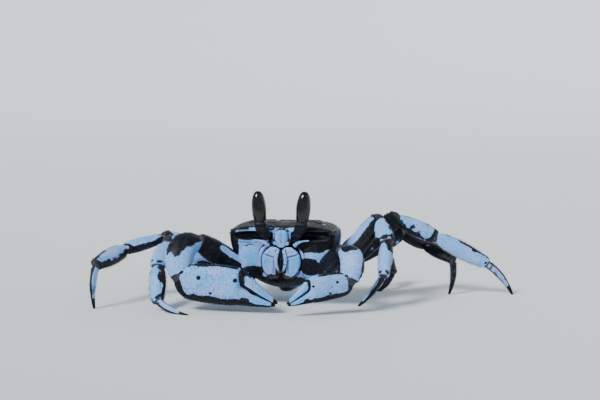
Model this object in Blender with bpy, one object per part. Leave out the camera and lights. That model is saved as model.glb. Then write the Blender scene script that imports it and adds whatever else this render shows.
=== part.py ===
"""Ghost crab (Ocypode), life size, standing still on the tips of its eight walking legs.

The model is built in millimetres and written out in metres.  +Z is up, the crab faces -Y and its
left side is +X.  The body is one lofted shell parted into carapace and sternum.  Every leg is a
chain of five pieces: base, merus, carpus, propodus and dactyl.  Each piece ends in a round knuckle,
and the next piece has a socket cut to fit round that knuckle with a small gap.
"""
import math

import bmesh
import bpy
from mathutils import Matrix, Vector

# ---------------------------------------------------------------- driving sizes, in millimetres

MM = 0.001
GAP = 0.3                      # clear space between any two pieces
CARAPACE_WIDTH = 50.0          # every other length follows from this one

HALF_WIDTH = CARAPACE_WIDTH / 2

# Body stations from front to rear: y, half width, top, height of the widest line, bottom.
BODY_STATIONS = (
    (-19.6, 22.8, 34.6, 32.4, 13.0),
    (-18.4, 24.5, 36.8, 33.2, 10.6),
    (-14.0, 24.8, 37.6, 33.0, 8.0),
    (-8.0, 25.0, 38.1, 32.6, 6.9),
    (0.0, 25.3, 38.1, 31.8, 6.6),
    (7.0, 24.4, 36.4, 30.2, 7.3),
    (13.0, 21.2, 33.2, 27.8, 9.0),
    (17.5, 17.0, 29.6, 25.2, 11.8),
    (20.5, 12.6, 26.0, 22.6, 15.0),
    (21.6, 9.4, 24.2, 21.4, 17.0),
)
BODY_SIDES = 32
BODY_TOP_SQUARENESS = 2.8      # superellipse power of the back, flat with round shoulders
BODY_BELLY_SQUARENESS = 2.0    # the underside is a plain half ellipse
SPLIT_FRONT = Vector((0.0, -19.6, 13.6))     # the cut that parts carapace and sternum
SPLIT_REAR = Vector((0.0, 21.6, 20.6))

ORBIT_INNER_X = 4.2            # each orbit is a long groove under the brow
ORBIT_OUTER_X = 22.0
ORBIT_CENTRE = (-20.4, 32.9)   # y and z
ORBIT_HALF_DEPTH = 3.6
ORBIT_HALF_HEIGHT = 2.0

CORNER_TOOTH_LENGTH = 4.6      # sharp tooth at each front corner of the carapace
CORNER_TOOTH_RADIUS = 1.5

ROSTRUM_CENTRE = Vector((0.0, -19.8, 31.9))
ROSTRUM_HALF = Vector((3.1, 1.9, 5.0))

EYE_STALK_PATH = ((6.6, -19.8, 32.4), (8.2, -21.6, 34.8), (9.5, -22.2, 38.0), (10.1, -22.0, 41.0))
EYE_STALK_HALVES = ((1.7, 1.7), (2.1, 2.4), (2.4, 2.8), (2.0, 2.3))
CORNEA_FOOT = Vector((9.6, -22.0, 37.4))
CORNEA_TIP = Vector((11.0, -20.8, 53.6))
CORNEA_HALF_WIDTH = 3.4
CORNEA_RINGS = 9
CORNEA_POLE = 7.0              # degrees left flat at each end of the cornea

ANTENNA_PATH = ((6.2, -20.9, 28.4), (7.6, -21.5, 29.6), (10.2, -21.9, 30.6), (13.0, -22.0, 31.0))
ANTENNA_HALVES = ((1.0, 0.9), (0.9, 0.8), (0.42, 0.42), (0.3, 0.3))

# Third maxillipeds, the two plates that shut over the mouth: z, inner edge, outer edge, half thickness.
MAXILLIPED_STATIONS = (
    (13.4, 1.9, 4.6, 0.6),
    (14.8, 1.2, 6.8, 1.0),
    (17.5, 0.6, 8.5, 1.2),
    (20.8, 0.45, 9.1, 1.25),
    (23.6, 0.45, 8.7, 1.2),
    (26.2, 0.45, 6.9, 1.0),
    (27.6, 2.4, 5.2, 0.5),
)
MAXILLIPED_Y = -21.2

# Abdomen, folded flat under the sternum: y, half width, height of its middle, half thickness.
ABDOMEN_STATIONS = (
    (-9.0, 1.4, 6.2, 0.7),
    (-6.0, 2.6, 5.9, 1.2),
    (4.0, 4.8, 5.9, 1.3),
    (12.0, 7.2, 7.7, 1.4),
    (17.5, 8.6, 11.0, 1.5),
    (21.0, 8.6, 14.8, 1.5),
    (23.0, 7.4, 18.6, 1.4),
    (23.4, 5.6, 20.4, 1.0),
)

# Where each walking leg leaves the body and where its merus begins: distance out, y, z.
LEG_HIPS = {
    1: (24.0, -9.0, 15.0),
    2: (26.0, 0.0, 16.0),
    3: (25.0, 9.0, 16.5),
    4: (22.0, 16.0, 17.0),
}
COXA_INSET = 10.0              # the base piece starts this far inside its hip
COXA_DROP = 2.5

# Lengths of merus, carpus, propodus and dactyl, as shares of the carapace width.
LEG_LENGTHS = {
    1: (0.68, 0.32, 0.42, 0.40),
    2: (0.74, 0.42, 0.56, 0.41),
    3: (0.68, 0.32, 0.38, 0.34),
    4: (0.52, 0.26, 0.30, 0.30),
}

# Half height and half width of base, merus, carpus, propodus and dactyl.
LEG_SECTIONS = {
    1: ((3.7, 3.1), (5.3, 3.3), (4.3, 3.1), (3.7, 2.9), (1.7, 1.5)),
    2: ((3.8, 3.1), (5.1, 3.2), (4.1, 2.8), (3.9, 2.6), (1.9, 1.5)),
    3: ((3.5, 2.9), (4.6, 3.0), (3.6, 2.6), (3.4, 2.4), (1.7, 1.4)),
    4: ((2.9, 2.5), (4.3, 2.8), (3.8, 2.6), (3.7, 2.4), (1.8, 1.4)),
}

# The pose: heading and pitch in degrees of merus, carpus and propodus, then the dactyl's heading.
# Heading 0 points straight out from the body and 90 points forward.
LEG_POSE = {
    ("left", 1): ((-46, 42), (65, -32), (90, -41), -163),
    ("left", 2): ((-40, 35), (-12, -25), (-5, -27), -13),
    ("left", 3): ((-35, 21), (-42, -22), (36, -18), 127),
    ("left", 4): ((-62, 22), (-50, -30), (50, -52), 120),
    ("right", 1): ((4, 22), (80, -36), (103, -41), 147),
    ("right", 2): ((-9, 19), (34, -13), (75, -8), 96),
    ("right", 3): ((-44, 10), (-50, -12), (-58, -24), -62),
    ("right", 4): ((-76, 22), (-70, -25), (-62, -46), -52),
}

# Shapes along a piece: share of the length, share of the full section.
BASE_SHAPE = ((0.0, 1.0), (0.5, 1.04), (1.0, 0.84))
MERUS_SHAPE = ((0.0, 0.42), (0.14, 0.74), (0.4, 1.0), (0.75, 0.98), (1.0, 0.78))
CLAW_CARPUS_SHAPE = ((0.0, 0.5), (0.18, 0.84), (0.42, 1.0), (0.7, 1.0), (0.9, 0.88), (1.0, 0.76))
CARPUS_SHAPE = ((0.0, 0.48), (0.3, 0.86), (0.7, 1.0), (1.0, 0.84))
PROPODUS_SHAPE = ((0.0, 0.52), (0.2, 0.88), (0.5, 1.0), (1.0, 0.72))
DACTYL_SHAPE = ((0.0, 0.6), (0.14, 0.95), (0.4, 0.9), (0.72, 0.62), (0.93, 0.4), (1.0, 0.3))
KNUCKLE_ANGLES = (35, 62)      # rings of the round end, in degrees
LEG_SIDES = 8
DACTYL_BOW = 0.07              # bow of the dactyl as a share of its length

# Claws.  The large one is on the crab's right, and the small one is the same shape made smaller.
CLAWS = {
    "right": {
        "scale": 1.0,
        "shoulder": (-15.5, -14.5, 13.0),
        "elbow": (-37.0, -25.0, 29.6),
        "wrist": (-43.6, -36.5, 15.4),
        "carpus_bow": (-4.6, 0.0, 4.0),
        "heading": -5.0,
        "pitch": -4.0,
    },
    "left": {
        "scale": 0.66,
        "shoulder": (15.0, -14.5, 13.0),
        "elbow": (28.6, -25.5, 26.6),
        "wrist": (32.8, -36.0, 15.4),
        "carpus_bow": (3.2, 0.0, 2.4),
        "heading": 205.0,
        "pitch": -9.0,
    },
}
CLAW_MERUS_SECTION = (5.4, 4.4)
CLAW_CARPUS_SECTION = (6.4, 5.6)
CLAW_SIDES = 12
# Palm with the fixed finger: distance from the wrist, lift, half width, half height.
PALM_STATIONS = (
    (-2.6, -1.8, 2.4, 3.0),
    (-0.8, -2.0, 3.7, 5.4),
    (3.0, -2.2, 4.8, 7.6),
    (9.0, -1.9, 5.5, 8.6),
    (18.0, -1.8, 5.5, 8.9),
    (26.6, -1.7, 4.9, 8.5),
    (28.8, -5.4, 4.3, 4.7),
    (33.0, -6.7, 3.5, 3.3),
    (38.0, -7.6, 2.6, 2.2),
    (42.0, -8.2, 1.6, 1.4),
    (44.6, -8.4, 0.7, 0.7),
)
FINGER_STATIONS = (
    (25.4, 2.4, 2.4, 2.8),
    (28.4, 1.9, 3.4, 3.9),
    (32.0, 0.1, 3.2, 3.4),
    (36.5, -2.6, 2.7, 2.7),
    (41.0, -5.2, 1.9, 1.9),
    (44.4, -6.9, 1.1, 1.0),
    (45.6, -7.4, 0.5, 0.5),
)

# Colours of the pieces: base colour and roughness.
COLOURS = {
    "shell": ((0.27, 0.50, 0.86, 1.0), 0.5),
    "back": ((0.02, 0.022, 0.032, 1.0), 0.5),
    "tip": ((0.03, 0.04, 0.06, 1.0), 0.5),
    "eye": ((0.005, 0.004, 0.005, 1.0), 0.12),
}


# ---------------------------------------------------------------- general helpers

def clear_scene():
    """Start from an empty file."""
    for item in list(bpy.data.objects):
        bpy.data.objects.remove(item, do_unlink=True)


def material(name):
    """One Principled material for each kind of surface."""
    found = bpy.data.materials.get(name)
    if found:
        return found
    colour, roughness = COLOURS[name]
    made = bpy.data.materials.new(name)
    made.use_nodes = True
    shader = made.node_tree.nodes["Principled BSDF"]
    shader.inputs["Base Color"].default_value = colour
    shader.inputs["Roughness"].default_value = roughness
    shader.inputs["Metallic"].default_value = 0.0
    return made


def signed_power(value, power):
    """Power of a number that keeps its sign."""
    return math.copysign(abs(value) ** power, value)


def section(centre, across, upward, half_width, half_height, sides, squareness=2.3):
    """Points of a superellipse round a centre, in the plane of two unit vectors."""
    points = []
    for index in range(sides):
        angle = 2 * math.pi * (index + 0.5) / sides
        x = half_width * signed_power(math.cos(angle), 2 / squareness)
        z = half_height * signed_power(math.sin(angle), 2 / squareness)
        points.append(centre + across * x + upward * z)
    return points


def finish(name, mesh_data, kind):
    """Turn a bmesh in millimetres into a named object in metres."""
    bmesh.ops.recalc_face_normals(mesh_data, faces=mesh_data.faces)
    bmesh.ops.scale(mesh_data, vec=(MM, MM, MM), verts=mesh_data.verts)
    mesh = bpy.data.meshes.new(name)
    mesh_data.to_mesh(mesh)
    mesh_data.free()
    mesh.materials.append(material(kind))
    mesh.shade_smooth()
    mesh.set_sharp_from_angle(angle=math.radians(40))
    made = bpy.data.objects.new(name, mesh)
    bpy.context.scene.collection.objects.link(made)
    return made


def loft_mesh(rings):
    """Join rings of points, all with the same count, into one closed tube with flat ends."""
    mesh_data = bmesh.new()
    rows = [[mesh_data.verts.new(point) for point in ring] for ring in rings]
    count = len(rings[0])
    for row, following in zip(rows, rows[1:]):
        for index in range(count):
            after = (index + 1) % count
            mesh_data.faces.new((row[index], row[after], following[after], following[index]))
    mesh_data.faces.new(rows[0])
    mesh_data.faces.new(rows[-1])
    return mesh_data


def tube_rings(path, halves, outer_side, sides, grow=0.0):
    """Rings round a path.  Their height lies in the plane of the path and the outer side."""
    rings = []
    last = len(path) - 1
    for index, centre in enumerate(path):
        along = (path[min(index + 1, last)] - path[max(index - 1, 0)]).normalized()
        across = outer_side.cross(along).normalized()
        upward = along.cross(across)
        shift = along * grow * ((index == last) - (index == 0))
        half_height, half_width = halves[index]
        rings.append(section(centre + shift, across, upward,
                             half_width + grow, half_height + grow, sides))
    return rings


def tube(name, path, halves, outer_side, sides, kind, grow=0.0):
    """A closed tube round a path."""
    return finish(name, loft_mesh(tube_rings(path, halves, outer_side, sides, grow)), kind)


def as_cutter(item):
    """Mark an object as a guide that only cuts others."""
    item.hide_render = True
    item.display_type = "WIRE"
    return item


def combine(item, tool, operation):
    """Add an exact Boolean to an object."""
    step = item.modifiers.new(tool.name, "BOOLEAN")
    step.operation = operation
    step.solver = "EXACT"
    step.object = tool


def ellipsoid(name, centre, halves, kind):
    """A closed ellipsoid with its axes along X, Y and Z."""
    mesh_data = bmesh.new()
    bmesh.ops.create_uvsphere(mesh_data, u_segments=16, v_segments=10, radius=1.0)
    bmesh.ops.scale(mesh_data, vec=halves, verts=mesh_data.verts)
    bmesh.ops.translate(mesh_data, vec=centre, verts=mesh_data.verts)
    return finish(name, mesh_data, kind)


# ---------------------------------------------------------------- body

def body_ring(station, grow):
    """One cross section of the body: a flat squarish back over a rounded belly."""
    y, half_width, top, widest, bottom = station
    points = []
    for index in range(BODY_SIDES):
        angle = 2 * math.pi * index / BODY_SIDES
        if math.sin(angle) >= 0:
            power, height = 2 / BODY_TOP_SQUARENESS, top - widest + grow
        else:
            power, height = 2 / BODY_BELLY_SQUARENESS, widest - bottom + grow
        x = (half_width + grow) * signed_power(math.cos(angle), power)
        z = widest + height * signed_power(math.sin(angle), power)
        points.append(Vector((x, y, z)))
    return points


def body_mesh(grow=0.0):
    """The whole body as one closed loft from front to rear."""
    rings = [body_ring(station, grow) for station in BODY_STATIONS]
    for point in rings[0]:
        point.y -= grow
    for point in rings[-1]:
        point.y += grow
    return loft_mesh(rings)


def body_half(name, keep_upper, kind):
    """The part of the body above or below the slanting cut, half a gap away from it."""
    mesh_data = body_mesh()
    along = (SPLIT_REAR - SPLIT_FRONT).normalized()
    normal = Vector((1, 0, 0)).cross(along)
    side = 1 if keep_upper else -1
    bmesh.ops.bisect_plane(
        mesh_data, geom=mesh_data.verts[:] + mesh_data.edges[:] + mesh_data.faces[:],
        plane_co=SPLIT_FRONT + normal * side * GAP / 2, plane_no=normal,
        clear_inner=keep_upper, clear_outer=not keep_upper)
    rim = [edge for edge in mesh_data.edges if edge.is_boundary]
    bmesh.ops.contextual_create(mesh_data, geom=rim)
    return finish(name, mesh_data, kind)


def orbit_cutter(name, side):
    """The long groove of one orbit, tapered to its outer end."""
    rings = []
    for share, swell in ((0.0, 0.8), (0.12, 1.0), (0.6, 0.95), (0.9, 0.75), (1.0, 0.5)):
        x = side * (ORBIT_INNER_X + share * (ORBIT_OUTER_X - ORBIT_INNER_X))
        centre = Vector((x, ORBIT_CENTRE[0], ORBIT_CENTRE[1]))
        rings.append(section(centre, Vector((0, 1, 0)), Vector((0, 0, 1)),
                             ORBIT_HALF_DEPTH * swell, ORBIT_HALF_HEIGHT * swell, 8))
    return as_cutter(finish(name, loft_mesh(rings), "back"))


def corner_tooth(name, side):
    """The sharp tooth at a front corner of the carapace."""
    root = Vector((side * (HALF_WIDTH - 3.2), -17.0, 33.4))
    aim = Vector((side * 0.62, -0.78, 0.08)).normalized()
    path = [root + aim * CORNER_TOOTH_LENGTH * share for share in (0.0, 0.6, 1.0)]
    halves = [(CORNER_TOOTH_RADIUS * swell, CORNER_TOOTH_RADIUS * swell) for swell in (1.0, 0.7, 0.25)]
    return as_cutter(tube(name, path, halves, Vector((0, 0, 1)), 8, "back"))


def mirrored(points, side):
    """Points given for the left side, on the asked side."""
    return [Vector((side * x, y, z)) for x, y, z in points]


def make_body(sockets):
    """Carapace with orbits, rostrum and eye sockets, the sternum, and the folded abdomen."""
    carapace = body_half("carapace", True, "back")
    body_half("sternum", False, "shell")
    for label, side in (("left", 1), ("right", -1)):
        combine(carapace, corner_tooth("corner_tooth_" + label, side), "UNION")
        combine(carapace, orbit_cutter("orbit_" + label, side), "DIFFERENCE")
    rostrum = as_cutter(ellipsoid("rostrum", ROSTRUM_CENTRE, ROSTRUM_HALF, "back"))
    combine(carapace, rostrum, "UNION")
    for socket in sockets:
        combine(carapace, socket, "DIFFERENCE")


def make_abdomen(body_space):
    """A tapering plate that follows the curve of the belly and turns up behind."""
    path = [Vector((0, y, z)) for y, _, z, _ in ABDOMEN_STATIONS]
    halves = [(thick, wide) for _, wide, _, thick in ABDOMEN_STATIONS]
    abdomen = tube("abdomen", path, halves, Vector((0, 0, -1)), 12, "shell")
    combine(abdomen, body_space, "DIFFERENCE")


def make_maxilliped(label, side):
    """One of the two plates that shut over the mouth."""
    path = [Vector((side * (inner + outer) / 2, MAXILLIPED_Y, z))
            for z, inner, outer, _ in MAXILLIPED_STATIONS]
    halves = [(thick, (outer - inner) / 2) for _, inner, outer, thick in MAXILLIPED_STATIONS]
    tube("maxilliped_" + label, path, halves, Vector((0, -1, 0)), 12, "shell")


def make_eye(label, side):
    """Eyestalk and long black cornea; gives back the space the stalk needs in the carapace."""
    path = mirrored(EYE_STALK_PATH, side)
    front = Vector((0, -1, 0))
    stalk = tube("eyestalk_" + label, path, EYE_STALK_HALVES, front, 10, "back")
    socket = as_cutter(tube("eye_socket_" + label, path, EYE_STALK_HALVES, front, 10, "back", GAP))
    for name, grow in (("eye_" + label, 0.0), ("cornea_space_" + label, GAP)):
        foot, tip = mirrored((CORNEA_FOOT, CORNEA_TIP), side)
        turns = [math.radians(CORNEA_POLE + (180 - 2 * CORNEA_POLE) * step / CORNEA_RINGS)
                 for step in range(CORNEA_RINGS + 1)]
        path = [foot.lerp(tip, 0.5 - 0.5 * math.cos(turn)) for turn in turns]
        halves = [[CORNEA_HALF_WIDTH * math.sin(turn) ** 0.8] * 2 for turn in turns]
        cornea = tube(name, path, halves, front, 12, "eye", grow)
    combine(stalk, as_cutter(cornea), "DIFFERENCE")
    return socket


def make_antenna(label, side):
    """The short antenna between orbit and mouth."""
    tube("antenna_" + label, mirrored(ANTENNA_PATH, side), ANTENNA_HALVES,
         Vector((0, -1, 0)), 6, "shell")


# ---------------------------------------------------------------- limbs

def direction(side, heading, pitch):
    """Unit vector from a heading and a pitch on one side of the body."""
    heading, pitch = math.radians(heading), math.radians(pitch)
    return Vector((side * math.cos(heading) * math.cos(pitch),
                   -math.sin(heading) * math.cos(pitch),
                   math.sin(pitch)))


def limb_rows(length, shape, section_size):
    """Stations along a piece with its round knuckle: distance, share of the full section."""
    rows = [(share * length, swell) for share, swell in shape]
    end_swell = shape[-1][1]
    reach = end_swell * sum(section_size) / 2
    for angle in KNUCKLE_ANGLES:
        turn = math.radians(angle)
        rows.append((length + reach * math.sin(turn), end_swell * math.cos(turn)))
    return rows


def limb(name, start, end, shape, section_size, outer_side, body_kind, sides=LEG_SIDES, bow=None):
    """One piece of a limb, and the slightly larger space that the next piece keeps clear of."""
    axis = end - start
    length = axis.length
    rows = limb_rows(length, shape, section_size)
    path = []
    for distance, _ in rows:
        share = distance / length
        point = start + axis * share
        if bow:
            point += Vector(bow) * 4 * share * (1 - min(share, 1.0))
        path.append(point)
    halves = [(section_size[0] * swell, section_size[1] * swell) for _, swell in rows]
    piece = tube(name, path, halves, outer_side, sides, body_kind)
    space = as_cutter(tube(name + "_space", path, halves, outer_side, sides, body_kind, GAP))
    return piece, space


def dactyl(name, start, end, section_size, outer_side):
    """The pointed last piece of a leg, bowed outward, with a small flat where it meets the floor."""
    axis = end - start
    across = outer_side.cross(axis).normalized()
    outward = axis.cross(across).normalized()
    path = []
    for share, _ in DACTYL_SHAPE:
        bend = DACTYL_BOW * axis.length * 4 * share * (1 - share)
        path.append(start + axis * share + outward * bend)
    halves = [(section_size[0] * swell, section_size[1] * swell) for _, swell in DACTYL_SHAPE]
    mesh_data = loft_mesh(tube_rings(path, halves, outer_side, LEG_SIDES))
    bmesh.ops.bisect_plane(
        mesh_data, geom=mesh_data.verts[:] + mesh_data.edges[:] + mesh_data.faces[:],
        plane_co=(0, 0, 0), plane_no=(0, 0, 1), clear_inner=True)
    rim = [edge for edge in mesh_data.edges if edge.is_boundary]
    bmesh.ops.contextual_create(mesh_data, geom=rim)
    return finish(name, mesh_data, "tip")


def make_leg(label, side, number, body_space):
    """One walking leg from its base to the tip on the floor."""
    name = "leg%d_%s_" % (number, label)
    hip = Vector(LEG_HIPS[number])
    hip.x *= side
    lengths = [share * CARAPACE_WIDTH for share in LEG_LENGTHS[number]]
    sizes = LEG_SECTIONS[number]
    merus_turn, carpus_turn, propodus_turn, dactyl_heading = LEG_POSE[(label, number)]

    joints = [hip]
    aims = []
    for turn, length in zip((merus_turn, carpus_turn, propodus_turn), lengths):
        aims.append(direction(side, *turn))
        joints.append(joints[-1] + aims[-1] * length)
    drop = math.degrees(math.asin(joints[-1].z / lengths[3]))
    aims.append(direction(side, dactyl_heading, -drop))
    joints.append(joints[-1] + aims[-1] * lengths[3])

    coxa = hip - Vector((side * COXA_INSET, 0, COXA_DROP))
    up = Vector((0, 0, 1))
    base, space = limb(name + "base", coxa, hip, BASE_SHAPE, sizes[0], up, "shell")
    combine(base, body_space, "DIFFERENCE")
    outer_sides = (-aims[1], aims[0] - aims[2], aims[1] - aims[3])
    parts = (("merus", MERUS_SHAPE), ("carpus", CARPUS_SHAPE), ("propodus", PROPODUS_SHAPE))
    for index, (part, shape) in enumerate(parts):
        piece, following_space = limb(name + part, joints[index], joints[index + 1], shape,
                                      sizes[index + 1], outer_sides[index], "shell")
        combine(piece, space, "DIFFERENCE")
        if part == "merus":
            combine(piece, body_space, "DIFFERENCE")
        space = following_space
    tip = dactyl(name + "dactyl", joints[3], joints[4], sizes[4], aims[1] + aims[2])
    combine(tip, space, "DIFFERENCE")


# ---------------------------------------------------------------- claws

def claw_piece(name, stations, scale, placing, kind, grow=0.0):
    """A palm or finger made along its own X axis and then put in place."""
    across, upward = Vector((0, 1, 0)), Vector((0, 0, 1))
    rings = []
    last = len(stations) - 1
    for index, (distance, lift, half_width, half_height) in enumerate(stations):
        shift = grow * ((index == last) - (index == 0))
        centre = Vector((distance * scale + shift, 0, lift * scale))
        rings.append(section(centre, across, upward, half_width * scale + grow,
                             half_height * scale + grow, CLAW_SIDES))
    mesh_data = loft_mesh(rings)
    bmesh.ops.transform(mesh_data, matrix=placing, verts=mesh_data.verts)
    return finish(name, mesh_data, kind)


def make_claw(label, side, body_space):
    """One claw: merus, carpus, palm with the fixed finger, and the movable finger."""
    claw = CLAWS[label]
    name = "claw_%s_" % label
    scale = claw["scale"]
    size = 0.5 + 0.5 * scale
    shoulder, elbow, wrist = Vector(claw["shoulder"]), Vector(claw["elbow"]), Vector(claw["wrist"])
    merus_size = [half * size for half in CLAW_MERUS_SECTION]
    carpus_size = [half * size for half in CLAW_CARPUS_SECTION]
    up = Vector((0, 0, 1))
    outward = Vector((side, 0, 0.3))

    merus, space = limb(name + "merus", shoulder, elbow, MERUS_SHAPE, merus_size, up, "shell",
                        CLAW_SIDES)
    combine(merus, body_space, "DIFFERENCE")
    carpus, carpus_space = limb(name + "carpus", elbow, wrist, CLAW_CARPUS_SHAPE, carpus_size,
                                outward, "shell", CLAW_SIDES, claw["carpus_bow"])
    combine(carpus, space, "DIFFERENCE")

    placing = (Matrix.Translation(wrist)
               @ Matrix.Rotation(math.radians(claw["heading"]), 4, "Z")
               @ Matrix.Rotation(math.radians(-claw["pitch"]), 4, "Y"))
    palm = claw_piece(name + "palm", PALM_STATIONS, scale, placing, "shell")
    combine(palm, carpus_space, "DIFFERENCE")
    palm_space = as_cutter(claw_piece(name + "palm_space", PALM_STATIONS, scale, placing, "shell",
                                      GAP))
    finger = claw_piece(name + "finger", FINGER_STATIONS, scale, placing, "shell")
    combine(finger, palm_space, "DIFFERENCE")


# ---------------------------------------------------------------- assembly

def centre_on_floor():
    """Hang every piece from one empty, so that the origin is under the middle of the whole box."""
    bpy.context.view_layer.update()
    graph = bpy.context.evaluated_depsgraph_get()
    pieces = [item for item in bpy.data.objects if item.type == "MESH"]
    xs, ys = [], []
    for item in pieces:
        if item.hide_render:
            continue
        mesh = item.evaluated_get(graph).to_mesh()
        xs += [vertex.co.x for vertex in mesh.vertices]
        ys += [vertex.co.y for vertex in mesh.vertices]
    crab = bpy.data.objects.new("crab", None)
    bpy.context.scene.collection.objects.link(crab)
    for item in pieces:
        item.parent = crab
    crab.location = (-(min(xs) + max(xs)) / 2, -(min(ys) + max(ys)) / 2, 0.0)
    bpy.context.view_layer.update()


def build():
    """Build the whole crab."""
    clear_scene()
    body_space = as_cutter(finish("body_space", body_mesh(GAP), "back"))
    sockets = []
    for label, side in (("left", 1), ("right", -1)):
        sockets.append(make_eye(label, side))
        make_antenna(label, side)
        make_maxilliped(label, side)
        make_claw(label, side, body_space)
        for number in LEG_HIPS:
            make_leg(label, side, number, body_space)
    make_body(sockets)
    make_abdomen(body_space)
    centre_on_floor()


build()
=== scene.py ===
# %% [markdown]
# # A ghost crab, standing
#
# This lesson dresses a crab whose plain solids already exist.  They give the size, the pose and the
# places of all fifty-nine plates and segments.  Here every one of them gets its real surface: domed,
# grooved, grained, spined and bristled, in the crab's own black and pale blue.
#
# All shapes below are in millimetres, in the crab's own frame: it faces -Y, its left side is +X, and
# the middle of the body is near the origin.  The solids are in metres and may stand somewhere else,
# so the first cell measures where.  A symmetric plate is the safest thing to measure from, and here
# it is the carapace.

import math

import bmesh
import bpy
import numpy as np
from mathutils import Matrix, Vector


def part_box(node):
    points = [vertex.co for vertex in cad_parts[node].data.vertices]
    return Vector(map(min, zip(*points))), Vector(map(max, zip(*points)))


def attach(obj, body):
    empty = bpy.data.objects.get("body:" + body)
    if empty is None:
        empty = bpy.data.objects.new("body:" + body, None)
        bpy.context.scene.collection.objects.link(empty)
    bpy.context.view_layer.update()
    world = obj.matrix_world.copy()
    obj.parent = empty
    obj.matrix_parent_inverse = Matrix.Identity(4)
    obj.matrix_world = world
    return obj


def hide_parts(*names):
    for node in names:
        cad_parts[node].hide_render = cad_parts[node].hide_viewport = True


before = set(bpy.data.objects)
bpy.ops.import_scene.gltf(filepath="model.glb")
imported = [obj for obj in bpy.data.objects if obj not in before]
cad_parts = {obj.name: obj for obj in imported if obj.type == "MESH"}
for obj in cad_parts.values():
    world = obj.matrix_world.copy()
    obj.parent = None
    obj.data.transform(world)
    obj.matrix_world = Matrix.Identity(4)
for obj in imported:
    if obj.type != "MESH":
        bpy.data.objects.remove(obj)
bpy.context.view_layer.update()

MM = 0.001
BODY_REAR = 21.6                       # how far the carapace reaches behind the crab's origin
low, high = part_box("carapace")
ORIGIN = np.array([(low.x + high.x) / 2, high.y - BODY_REAR * MM, 0.0])
print("crab origin in the frame:", ORIGIN.round(5))

# %% [markdown]
# ## The studio
#
# A small pale object looks best in soft light on a pale ground without an edge.  A plain plane
# would end in a visible horizon.  A studio sweep has none, and a round one works from every side, so
# the floor is a disc whose rim curves up into a low wall.  It is made by turning a profile round the
# Z axis: flat, then a quarter of a circle, then a short wall.

# %% Floor with a curved rim
FLAT_RADIUS = 1500.0
SWEEP_RADIUS = 700.0
WALL_TOP = 1500.0
STAGE_SIDES = 160


def add_object(name, data):
    """A new object in the scene."""
    made = bpy.data.objects.new(name, data)
    bpy.context.scene.collection.objects.link(made)
    return made


def to_mesh(work, name):
    """The mesh of a form built or cut face by face."""
    mesh = bpy.data.meshes.new(name)
    work.to_mesh(mesh)
    work.free()
    return mesh


def plain_material(name, colour, roughness):
    """A Principled material with one colour and roughness."""
    made = bpy.data.materials.new(name)
    made.use_nodes = True
    shader = made.node_tree.nodes["Principled BSDF"]
    shader.inputs["Base Color"].default_value = (*colour, 1.0)
    shader.inputs["Roughness"].default_value = roughness
    return made


def stage_profile():
    """Radius and height of the sweep from the middle outward."""
    rows = [(0.0, 0.0), (FLAT_RADIUS * 0.5, 0.0)]
    for degrees in range(0, 91, 6):
        turn = math.radians(degrees)
        rows.append((FLAT_RADIUS + SWEEP_RADIUS * math.sin(turn),
                     SWEEP_RADIUS * (1 - math.cos(turn))))
    rows.append((FLAT_RADIUS + SWEEP_RADIUS, WALL_TOP))
    return rows


stage_mesh = bmesh.new()
profile = [stage_mesh.verts.new((radius * MM, 0.0, height * MM)) for radius, height in stage_profile()]
edges = [stage_mesh.edges.new(pair) for pair in zip(profile, profile[1:])]
bmesh.ops.spin(stage_mesh, geom=profile + edges, cent=(0, 0, 0), axis=(0, 0, 1),
               angle=2 * math.pi, steps=STAGE_SIDES, use_merge=True)
bmesh.ops.remove_doubles(stage_mesh, verts=stage_mesh.verts, dist=1e-6)
stage_data = to_mesh(stage_mesh, "floor")
stage_data.shade_smooth()
floor = add_object("floor", stage_data)
stage_data.materials.append(plain_material("pale floor", (0.80, 0.835, 0.855), 0.75))
print("floor faces:", len(stage_data.polygons))

# %% [markdown]
# ## The camera
#
# The crab is seen almost from the front, low down, as another crab would see it.  The camera stands
# nine degrees round to the crab's left and ten degrees above the floor, with a long lens, so that
# the near claws don't grow too large.  It aims above the claws, which sets the crab low in the view.

# %% Camera
CAMERA_AZIMUTH = 9.0
CAMERA_ELEVATION = 10.0
CAMERA_DISTANCE = 700.0
CAMERA_TARGET = np.array([0.0, -36.0, 0.0])     # on the floor in front of the mouth
CAMERA_AIM = np.array([10.85, -36.0, 51.2])
CAMERA_LENS = 92.4


def in_frame(point):
    """A point given in the crab's millimetres, in the frame's metres."""
    return Vector(np.asarray(point, float) * MM + ORIGIN)


def polar(azimuth, elevation, distance):
    """A point at a distance in the direction of two angles, the first counted from -Y."""
    around, above = math.radians(azimuth), math.radians(elevation)
    return distance * np.array([math.sin(around) * math.cos(above),
                                -math.cos(around) * math.cos(above),
                                math.sin(above)])


camera_data = bpy.data.cameras.new("camera")
camera = add_object("camera", camera_data)
bpy.context.scene.camera = camera
camera_data.sensor_width = 36.0
camera_data.lens = CAMERA_LENS
camera_data.clip_start = 0.01
camera.location = in_frame(CAMERA_TARGET + polar(CAMERA_AZIMUTH, CAMERA_ELEVATION, CAMERA_DISTANCE))
view = in_frame(CAMERA_AIM) - camera.location
camera.rotation_euler = view.to_track_quat("-Z", "Y").to_euler()
print("camera stands at", tuple(round(value, 4) for value in camera.location))

# %% [markdown]
# ## The light
#
# One broad soft lamp high on the left of the view models the domes and puts a glint on each eye.
# A weaker one on the right keeps the shaded side readable, and one behind draws a pale edge along
# the back and the legs.  The sky is dim, even and faintly blue, so no shadow is quite black.  Lamps
# near the crab would leave the far floor dark.  These are suns, as broad in the sky as a studio
# softbox is when it hangs close, so the crab gets soft shadows and the floor is even to its rim.

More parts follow.
